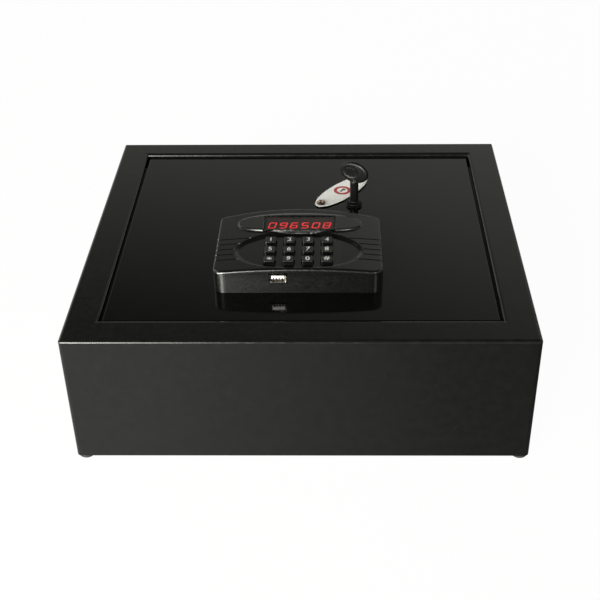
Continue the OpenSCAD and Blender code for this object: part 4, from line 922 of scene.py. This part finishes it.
KEY_SIGNS = {"key_1": "1", "key_2": "2", "key_3": "3", "key_4": "4", "key_5": "5", "key_6": "6",
             "key_7": "7", "key_8": "8", "key_star": "*", "key_9": "9", "key_0": "0", "key_hash": "#"}
SIGN_HEIGHT, SIGN_BOLD, PRINT_THICK = 5.8, 0.05, 0.03
CAPITAL_SHARE = 0.7
STAR_RADIUS, STAR_ARM_HALF = 2.4, 0.33
FLANGE_HIGH, FLANGE_CORNER, FLANGE_EDGE = 1.2, 0.8, 0.2
CAP_FOOT, CAP_TOP, CAP_CORNER, CAP_EDGE, CAP_STEPS = 5.0, 4.82, 1.0, 0.75, 5


def sign_mesh(text, middle, z):
    """Flat printed text about a middle."""
    letters = bpy.data.curves.new("sign", "FONT")
    letters.body = text
    letters.size = SIGN_HEIGHT / CAPITAL_SHARE
    letters.offset = SIGN_BOLD
    letters.extrude = PRINT_THICK / 2
    letters.resolution_u = 4
    mesh = evaluated_mesh(new_object("sign", letters))
    spots = np.array([tuple(v.co) for v in mesh.vertices])
    centre = (spots.min(axis=0) + spots.max(axis=0)) / 2
    shift = np.array([middle[0] - centre[0], middle[1] - centre[1], z + PRINT_THICK / 2])
    for vertex, spot in zip(mesh.vertices, spots):
        vertex.co = (spot + shift) * MM
    return joined(mesh, 0.001)


def star_mesh(middle, z):
    """Flat printed star with six arms."""
    loop = []
    for arm in range(6):
        a = math.radians(90 + 60 * arm)
        along, side = np.array([math.cos(a), math.sin(a)]), np.array([-math.sin(a), math.cos(a)])
        between = a + math.radians(30)
        notch = STAR_ARM_HALF / math.sin(math.radians(30)) * np.array([math.cos(between), math.sin(between)])
        tip, half = STAR_RADIUS * along, STAR_ARM_HALF * side
        loop += [tip - half, tip + half, notch]
    loop = [(x + middle[0], y + middle[1]) for x, y in loop]
    return Shape().solid([at_height(loop, z), at_height(loop, z + PRINT_THICK)]).mesh()


def build_key(node, sign):
    """A key with its flange, its tapered cap and its printed sign."""
    low, high = edges_mm(node)
    middle, half = (low + high) / 2, (high[0] - low[0]) / 2
    bottom, flange_top, top = low[2], low[2] + FLANGE_HIGH, high[2]
    rows = [(half - inset, FLANGE_CORNER - inset, z)
            for inset, z in ((FLANGE_EDGE, bottom), (0, bottom + FLANGE_EDGE), (0, flange_top - FLANGE_EDGE),
                             (FLANGE_EDGE, flange_top))]
    rows.append((CAP_FOOT, CAP_CORNER, flange_top))
    for k in range(CAP_STEPS + 1):
        a = math.pi / 2 * k / CAP_STEPS
        cut_in = CAP_EDGE * (1 - math.cos(a))
        rows.append((CAP_TOP - cut_in, CAP_CORNER - 0.5 * cut_in, top - CAP_EDGE * (1 - math.sin(a))))
    loops = [at_height(round_rect(middle, size, size, corner), z) for size, corner, z in rows]
    dress(node, Shape().solid(loops).mesh(), 50)
    print_mesh = star_mesh(middle, top) if sign == "*" else sign_mesh(sign, middle, top)
    link_piece(node + "_print", print_mesh, "legend_print", body_of[node])


SHOWN_DIGITS = "096508"
DIGIT_BARS = {"0": "abcdef", "5": "afgcd", "6": "afgedc", "8": "abcdefg", "9": "abcdfg"}
# Ends of each bar, as shares of half the width and half the height
BAR_ENDS = {"a": ((-1, 1), (1, 1)), "b": ((1, 0), (1, 1)), "c": ((1, -1), (1, 0)), "d": ((-1, -1), (1, -1)),
            "e": ((-1, -1), (-1, 0)), "f": ((-1, 0), (-1, 1)), "g": ((-1, 0), (1, 0))}
DIGIT_HALF, DIGIT_SLANT, DIGIT_MIDDLE, DIGIT_REACH = (2.9, 4.6), 0.2, 75.6, 25.0
BAR_GAP, LAYER_STEP, LAYERS = 0.16, 0.003, 7
# Name, finish, half width of a bar, and its lower and upper face above the display module
# The first layer is a painted glow, a wider glowing bar under each bar that stands in for the light the bars
# spread.
DIGIT_LAYERS = (("display_painted_glow", "lit_glow", 0.72, 0.02, 0.05),
                ("display_digits", "lit_bar", 0.45, 0.06, 0.14))


def bar_loop(bar, half):
    """Outline of one display bar: a slim hexagon between its ends."""
    start, end = (np.array(spot) * DIGIT_HALF for spot in BAR_ENDS[bar])
    along = (end - start) / np.linalg.norm(end - start)
    side = np.array([-along[1], along[0]])
    start, end = start + BAR_GAP * along, end - BAR_GAP * along
    return [start, start + half * (along + side), end - half * (along - side), end,
            end - half * (along + side), start + half * (along - side)]


def build_digits():
    """Six slanted digits of seven bars each, standing just proud of the display module in a painted glow of
    their own.
    """
    face_z = edges_mm("display_module")[1][2]
    middles = np.linspace(-DIGIT_REACH, DIGIT_REACH, len(SHOWN_DIGITS))
    bars = [(bar, middle) for digit, middle in zip(SHOWN_DIGITS, middles) for bar in DIGIT_BARS[digit]]
    for name, finish, half, low_z, high_z in DIGIT_LAYERS:
        shape = Shape()
        for layer, (bar, middle) in enumerate(bars):
            loop = [(x + DIGIT_SLANT * y + middle + MIDDLE_X, y + DIGIT_MIDDLE + FRONT_Y)
                    for x, y in bar_loop(bar, half)]
            lift = face_z + LAYER_STEP * (layer % LAYERS)
            shape.solid([at_height(loop, lift + low_z), at_height(loop, lift + high_z)])
        link_piece(name, shape.mesh(0.0005), finish, "lid")


PANE_FALL, PANE_GAP, PANE_EDGE, PANE_CORNER = 0.2, 0.35, 0.25, 0.4


def build_window():
    """The display's pane, whose face falls to the rear with the boss around it."""
    low, high = window_low, window_high
    middle, half = (low + high) / 2, (high - low) / 2 - PANE_GAP

    def plan(inset):
        return round_rect(middle, half[0] - inset, half[1] - inset, PANE_CORNER)

    def face(inset, drop):
        return [(x, y, high[2] - drop - PANE_FALL * (y - low[1]) / (high[1] - low[1]))
                for x, y in plan(inset)]

    pane = Shape().solid([at_height(plan(PANE_EDGE), low[2]), at_height(plan(0), low[2] + PANE_EDGE),
                          face(0, PANE_EDGE), face(PANE_EDGE, 0)])
    dress("display_window", pane.mesh(), 30)


SHELL_WALL, SHELL_CORNER, TAB_SPREAD, TAB_HALF = 0.45, 1.0, 3.3, 1.5
# A spring tab from the side: distances behind the shell's front and above its top
TAB_PROFILE = ((0.5, -0.1), (0.5, 0.1), (1.6, 0.5), (4.0, 0.1), (4.0, -0.1))
INSERT_HALF, SLOT_HALF, CONTACT_HALF, CONTACT_PLACES = 5.5, 0.75, 0.4, (-3.75, -1.25, 1.25, 3.75)


def build_socket():
    """A folded steel shell with two spring tabs, and an ivory insert with slots over brass contacts."""
    low, high = usb_low, usb_high
    centre, half = (low + high) / 2, (high - low) / 2
    back = high[1] - 2

    def upright(loop, y):
        return [(x, y, z) for x, z in loop]

    def ring(inset, radius, y):
        return upright(round_rect((centre[0], centre[2]), half[0] - inset, half[2] - inset, radius, 4), y)

    rings = [ring(0, SHELL_CORNER, high[1]), ring(0, SHELL_CORNER, low[1] + 0.2), ring(0.15, 0.9, low[1]),
             ring(SHELL_WALL, 0.6, low[1] + 0.25), ring(SHELL_WALL, 0.6, back)]
    shell = Shape().solid(rings)
    for x in (-TAB_SPREAD, TAB_SPREAD):
        shell.solid([[(centre[0] + x + side * TAB_HALF, low[1] + y, high[2] + z) for y, z in TAB_PROFILE]
                     for side in (-1, 1)])
    dress("usb_socket", shell.mesh(), name="usb_shell")
    front, back = low[1] + 0.7, back - 0.02
    z_top, z_low, slot_top = high[2] - SHELL_WALL - 0.35, centre[2] - 0.5, centre[2] + 0.75
    outline = [(-INSERT_HALF, z_top), (-INSERT_HALF, z_low)]
    slot_corners = ((-1, z_low), (-1, slot_top), (1, slot_top), (1, z_low))
    contacts = Shape()
    for x in CONTACT_PLACES:
        outline += [(x + side * SLOT_HALF, z) for side, z in slot_corners]
        contacts.box((centre[0] + x - CONTACT_HALF, front + 0.8, slot_top - 0.2),
                     (centre[0] + x + CONTACT_HALF, back, slot_top - 0.02))
    outline += [(INSERT_HALF, z_low), (INSERT_HALF, z_top)]
    outline = [(centre[0] + x, z) for x, z in outline]
    ends = upright(outline, front), upright(outline, back)
    order = tuple(range(len(outline)))
    insert = Shape().loft(ends).add(ends[0], [order]).add(ends[1], [order[::-1]])
    dress("usb_socket", rounded(insert.mesh(), 0.12), name="usb_insert", slot="cover_white")
    dress("usb_socket", contacts.mesh(), name="usb_contacts", slot="brass")


# Keyhole cover, pivot and key

PIVOT_RADIUS, PLATE_TURN = 2.06, 50.98
PLATE_HALF, PLATE_EYE, PLATE_EDGE, PLATE_STEP = (38.8, 13.1), 6.1, 0.5, 2.6
PLATE_REACH = PLATE_HALF[0] - PLATE_EYE
RING_RADII, MARK_RADIUS, PRINT_FACES = (8.7, 5.3), 2.2, (0.01, 0.03)
pivot_low, pivot_high = edges_mm("cover_pivot")
PIVOT_PLACE = (pivot_low + pivot_high) / 2


def on_plate(shape, z):
    """The mesh of a Shape drawn from the pivot along the keyhole cover, in its place."""
    return shape.moved((PIVOT_PLACE[0], PIVOT_PLACE[1], z), PLATE_TURN).mesh()


def build_keyhole_cover():
    """A pressed oval plate with a rolled edge, and a plain ring with a keyhole printed on it."""
    low, high = edges_mm("keyhole_cover")
    thick = high[2] - low[2]
    hole = circle((0, 0), PIVOT_RADIUS, 32)

    def oval(inset):
        return [(x + PLATE_REACH, y) for x, y in shrunk_oval(PLATE_HALF, inset, 0, 120)]

    plan, faces = filled_plan(oval(PLATE_EDGE), [hole], [], PLATE_STEP)
    plate = Shape()
    for z, order in ((thick, 1), (0, -1)):
        plate.add(np.column_stack([plan, np.full(len(plan), z)]), faces[:, ::order])
    rows = []
    for k in range(9):
        a = math.pi * (k / 8 - 0.5)
        rows.append(at_height(oval(PLATE_EDGE * (1 - math.cos(a))), thick / 2 + thick / 2 * math.sin(a)))
    plate.loft(rows)
    plate.loft([at_height(hole, 0), at_height(hole, thick)])
    dress("keyhole_cover", on_plate(plate, low[2]), 40)
    outer, inner = (circle((PLATE_REACH + 1, 0), radius, 72) for radius in RING_RADII)
    below, above = PRINT_FACES
    ring = Shape().loft([at_height(outer, below), at_height(outer, above), at_height(inner, above),
                         at_height(inner, below), at_height(outer, below)])
    link_piece("cover_ring_print", on_plate(ring, high[2]), "red_print", "cover_plate")
    keyhole = [(PLATE_REACH - 2.2, 1.5), (PLATE_REACH - 2.2, -1.5)]
    keyhole += arc_points((PLATE_REACH + 3.0, 0), MARK_RADIUS, -160, 160, 28)
    mark = Shape().solid([at_height(keyhole, below), at_height(keyhole, above)])
    link_piece("cover_keyhole_print", on_plate(mark, high[2]), "grey_print", "cover_plate")


PIVOT_SHANK, PIVOT_HEAD, PIVOT_HEAD_HIGH, PIVOT_CURB = 2.0, 4.3, 2.4, 0.6
WASHER, WASHER_HIGH, WASHER_EDGE = 4.7, 0.7, 0.15
# The cross recess: its turns, the half length, half width and corner of an arm, and how much of
# them it has at each height above the crown
RECESS_TURNS, RECESS_ARM, RECESS_ROWS = (20, 110), (2.9, 0.85, 0.25), ((0.5, -1.2), (1.0, -0.3), (1.3, 0.6))


def build_pivot():
    """A domed screw with a cross recess, its washer and its shank."""
    low, high = pivot_low, pivot_high
    foot, washer_top = high[2] - PIVOT_HEAD_HIGH, LID_TOP + WASHER_HIGH
    profile = [(0, low[2]), (PIVOT_SHANK, low[2]), (PIVOT_SHANK, LID_TOP), (WASHER - WASHER_EDGE, LID_TOP),
               (WASHER, LID_TOP + WASHER_EDGE), (WASHER, washer_top - WASHER_EDGE),
               (WASHER - WASHER_EDGE, washer_top), (PIVOT_SHANK, washer_top), (PIVOT_SHANK, foot),
               (PIVOT_HEAD - 0.2, foot), (PIVOT_HEAD, foot + 0.2)]
    rise = PIVOT_HEAD_HIGH - PIVOT_CURB
    for k in range(11):
        a = math.pi / 2 * k / 11
        profile.append((PIVOT_HEAD * math.cos(a), foot + PIVOT_CURB + rise * math.sin(a)))
    head = turned(profile + [(0, high[2])], PIVOT_PLACE)
    for turn in RECESS_TURNS:
        arm = Shape().solid([at_height(round_rect((0, 0), *(k * size for size in RECESS_ARM), 2), z)
                             for k, z in RECESS_ROWS])
        head = carved(head, arm.moved((PIVOT_PLACE[0], PIVOT_PLACE[1], high[2]), turn).mesh())
    dress("cover_pivot", head, 35)


LOCK_PLACE = (48.0, 49.5)
BOW_HALF, BOW_THICK, BOW_TURN, BOW_OVERLAP, BOW_RIM = (15.0, 11.0), 5.0, -28, 1.5, 2.1
HOLLOW_HALF, HOLLOW_MIDDLE, HOLLOW_DEPTH = (8.6, 6.8), (-3.4, 0.6), 0.9
RIB_PLACES, RIB_HALF, RIB_REACH = (-6.4, -3.4, -0.4), 0.55, 4.2
# Collar and shaft of the key: radii, with heights above the foot, and then with heights above
# the point where the shaft reaches the bow
COLLAR = ((0, 0), (7.3, 0), (7.8, 0.2), (8.0, 0.7), (8.0, 2.3), (7.8, 2.9), (7.2, 3.3), (5.4, 3.5),
          (4.6, 3.9), (4.2, 4.7))
SHAFT_END = ((4.2, -1.2), (4.0, 0.2), (3.2, 1.4), (1.8, 2.1), (0, 2.4))
BLEND_CELL, BLEND_ROUNDS = 0.38, 4


def bow_loop(half, t, shift=(0, 0), count=96):
    return [(x + shift[0], t, z + shift[1]) for x, z in oval_loop(half, count)]


def bow_mesh():
    """The key's bow, drawn upright with its thickness along Y: a flat face with a full round rim."""
    crest = BOW_THICK / 2 - 0.25
    edge = []
    for k in range(17):
        a = math.pi * (k / 16 - 0.5)
        edge.append(bow_loop([half - BOW_RIM * (1 - math.cos(a)) for half in BOW_HALF], crest * math.sin(a)))
    face = [bow_loop([(half - BOW_RIM) * s for half in BOW_HALF], BOW_THICK / 2 - 0.25 * s * s)
            for s in (0.3, 0.6, 0.85)]
    back = [[(x, -t, z) for x, t, z in loop] for loop in face]
    return Shape().solid(back + edge + face[::-1]).mesh()


def hollow_mesh(side):
    """A flat lens that hollows one face of the bow."""
    angles = [math.pi * (k / 12 - 0.5) for k in range(1, 12)]
    return Shape().solid([bow_loop([half * math.cos(a) for half in HOLLOW_HALF],
                                   side * BOW_THICK / 2 + HOLLOW_DEPTH * math.sin(a), HOLLOW_MIDDLE, 64)
                          for a in angles]).mesh()


def rib_mesh():
    """Three upright ribs in each hollow."""
    ribs, face = Shape(), BOW_THICK / 2 - 0.35
    corners = ((-1, -1), (-1, 1), (1, 1), (1, -1))
    for side in (-1, 1):
        for x in RIB_PLACES:
            reach = RIB_REACH - 0.25 * abs(x - HOLLOW_MIDDLE[0])
            rib = [(x + i * RIB_HALF, j * reach + HOLLOW_MIDDLE[1]) for i, j in corners]
            ribs.solid([[(u, side * t, w) for u, w in rib] for t in (face - 1.2, face)])
    return ribs.mesh()


def build_key_grip():
    """The override key: collar, shaft and bow moulded in one, with a hollow and ribs to hold it by."""
    low, high = edges_mm("key_grip")
    bow_z = high[2] - BOW_HALF[1]
    shaft_top = bow_z - BOW_HALF[1] + BOW_OVERLAP
    bow = bow_mesh()
    for side in (-1, 1):
        bow = carved(bow, hollow_mesh(side))
    bow = carved(bow, rib_mesh(), "UNION")
    turn = Matrix.Rotation(math.radians(BOW_TURN), 4, "Z")
    bow.transform(Matrix.Translation((LOCK_PLACE[0] * MM, LOCK_PLACE[1] * MM, bow_z * MM)) @ turn)
    profile = [(radius, low[2] + z) for radius, z in COLLAR]
    profile += [(radius, shaft_top + z) for radius, z in SHAFT_END]
    grip = carved(bow, turned(profile, LOCK_PLACE, 64), "UNION")
    grip = changed(grip, "REMESH", mode="VOXEL", voxel_size=BLEND_CELL * MM)
    grip = changed(grip, "SMOOTH", factor=0.5, iterations=BLEND_ROUNDS)
    dress("key_grip", grip, 70, finish="key_moulding", slot="black_plastic")


# Screws, springs, cables and mat

# Node, head radius and height, shank radius, and the number of rows along Y
SCREW_SETS = (("cover_screws", 2.8, 1.6, 1.5, 3), ("console_screws", 3.0, 2.2, 1.5, 2))
HINGE_AXIS = (142.0, 118.0)
COIL_RADIUS, SPRING_WIRE, SPRING_TURNS, SPRING_GAP, TURN_STEPS = 4.4, 0.65, 6, 0.6, 24


def build_screws():
    for node, radius, height, shank, rows in SCREW_SETS:
        low, high = edges_mm(node)
        ys = np.linspace(low[1] + radius, high[1] - radius, rows)
        spots = [(x, y, low[2] + height) for x in (low[0] + radius, high[0] - radius) for y in ys]
        screws(node, spots, (radius, height), (shank, high[2] - low[2] - height))


def build_springs():
    """Both torsion springs: a short leg up to the lid, the coil, and a long leg beside the bracket."""
    low, high = edges_mm("hinge_springs")
    axis_y, axis_z = HINGE_AXIS
    first, pitch, leg = high[0] - SPRING_WIRE, 2 * SPRING_WIRE + SPRING_GAP, axis_y - COIL_RADIUS
    path = [(first, leg, high[2]), (first, leg, (high[2] + axis_z) / 2)]
    for i in range(TURN_STEPS * SPRING_TURNS + 1):
        a = math.pi + 2 * math.pi * i / TURN_STEPS
        path.append((first - pitch * i / TURN_STEPS, axis_y + COIL_RADIUS * math.cos(a),
                     axis_z + COIL_RADIUS * math.sin(a)))
    last = first - SPRING_TURNS * pitch
    path += [(last, leg, axis_z - 6), (last, leg, low[2])]
    wires("hinge_springs", [path, [(-x, y, z) for x, y, z in path]], SPRING_WIRE, 12)


# Radius, starting point, route from there, and ending of each cable. The routes are those of the
# part's source, but for the console cable's last turn, which is wider here, as in a real cable.
CABLES = {
    "console_cable": (1.5, (48, -62, 137.5),
                      [(0, 0, 0), (0, 0, -6), (0, 0, -12), (0, 0, -18), (0, 0, -23), (-1, 1, -27),
                       (-4, 4, -31), (-10, 8, -33.5), (-20, 12, -35), (-34, 15, -35), (-50, 18, -35),
                       (-66, 22, -35), (-82, 28, -35), (-98, 36, -35), (-108, 41, -34.6),
                       (-116.5, 44, -33.8)],
                      at_height(arc_points((-76.4, -11.1), 6.6, 270, 90, 6), 105) + [(-70.3, -4.5, 105)]),
    "battery_cable": (1.2, (-105, 29.9, 108),
                      [(0, 0, 0), (0, -6, 0), (0, -12, 0), (2, -18, 0), (6, -23, 0), (12, -25.5, 0),
                       (18, -26, 0)],
                      [(-78.3, 4.8, 108), (-70.3, 4.8, 108)]),
}
ROUTE_STEPS = 4


def smooth_route(points):
    """A curve through the points, finer than they are."""
    spots = np.array([points[0]] + points + [points[-1]], float)
    path = []
    for i in range(1, len(spots) - 2):
        before, start, end, after = spots[i - 1:i + 3]
        for k in range(ROUTE_STEPS):
            t = k / ROUTE_STEPS
            path.append(0.5 * (2 * start + (end - before) * t
                               + (2 * before - 5 * start + 4 * end - after) * t ** 2
                               + (3 * start - before - 3 * end + after) * t ** 3))
    return [tuple(float(c) for c in p) for p in path + [spots[-1]]]


def build_cables():
    for name, (radius, start, route, ending) in CABLES.items():
        path = smooth_route([tuple(s + r for s, r in zip(start, spot)) for spot in route] + ending)
        piece = wires("wiring", [path], radius, 16, name, "black_plastic")


MAT_HOLE_RADIUS, MAT_CORNER, MAT_STEP, MAT_EDGE, MAT_WAVE = 12.0, 3.0, 9.0, 0.5, 0.2
FIXING_PLACES = [(x, y) for x in (-150, 150) for y in (-120, 120)]


def build_mat():
    """The felt lining: a cut sheet with four holes, slightly uneven, with a soft cut edge."""
    low, high = edges_mm("floor_mat")
    half_x, half_y = high[0], high[1]
    holes = [circle(spot, MAT_HOLE_RADIUS, 40) for spot in FIXING_PLACES]
    rim = round_rect((0, 0), half_x - MAT_EDGE, half_y - MAT_EDGE, MAT_CORNER - MAT_EDGE, 4, (42, 38))
    wide = [(x * half_x / (half_x - MAT_EDGE), y * half_y / (half_y - MAT_EDGE)) for x, y in rim]
    plan, faces = filled_plan(rim, holes, [], MAT_STEP)
    x, y = plan[:, 0], plan[:, 1]
    inner = np.clip((np.minimum(half_x - np.abs(x), half_y - np.abs(y)) - MAT_CORNER) / 20, 0, 1)
    for px, py in FIXING_PLACES:
        inner *= np.clip((np.hypot(x - px, y - py) - MAT_HOLE_RADIUS) / 15, 0, 1)
    waves = MAT_WAVE * (np.sin(x / 31 + y / 53) * np.sin(y / 37 - x / 71) - 1) * inner
    shape = Shape()
    shape.add(np.column_stack([plan, high[2] + waves]), faces)
    shape.add(np.column_stack([plan, np.full(len(plan), low[2])]), faces[:, ::-1])
    shape.loft([at_height(rim, high[2]), at_height(wide, high[2] - MAT_EDGE), at_height(wide, low[2] + 0.1),
                at_height(rim, low[2])])
    for hole in holes:
        shape.loft([at_height(hole, low[2]), at_height(hole, high[2])])
    mat = dress("floor_mat", shape.mesh(), 50)


# Width of the broken or rounded edge on each remaining piece
EDGE_WIDTHS = {"hinge_brackets": 0.4, "hinge_lugs": 0.4, "hinge_pins": 0.3, "mechanism_cover": 0.4,
               "motor_bracket": 0.3, "bolt_bushings": 0.4, "gear_housing": 0.6, "drive_motor": 0.6,
               "battery_holder": 0.4, "battery_door": 0.35, "bolt_carriage": 0.2, "bolt_nuts": 0.35,
               "lock_nut": 0.5, "lock_barrel": 0.3, "guide_posts": 0.3, "limit_switch": 0.4,
               "reset_switch": 0.4, "reset_button": 0.6, "console_base": 0.3, "circuit_board": 0.12,
               "keypad_mat": 0.5, "cable_grommet": 0.5, "lid_bumpers": 0.7, "key_tube": 0.2,
               "lock_plug": 0.15}

# The whole

add_camera()
add_world()
add_floor()
for lamp in LAMPS:
    add_lamp(*lamp)
for node, slot in slot_of.items():
    cad = frame["nodes"][node]
    cad.data.materials.clear()
    cad.data.materials.append(finishes[slot].material)
build_console_cover()
for node, sign in KEY_SIGNS.items():
    build_key(node, sign)
for build in (build_digits, build_window, build_socket, build_keyhole_cover, build_pivot, build_key_grip,
              build_screws, build_springs, build_cables, build_mat):
    build()
for node, width in EDGE_WIDTHS.items():
    soften(node, width)

bpy.context.scene.view_settings.view_transform = "Standard"
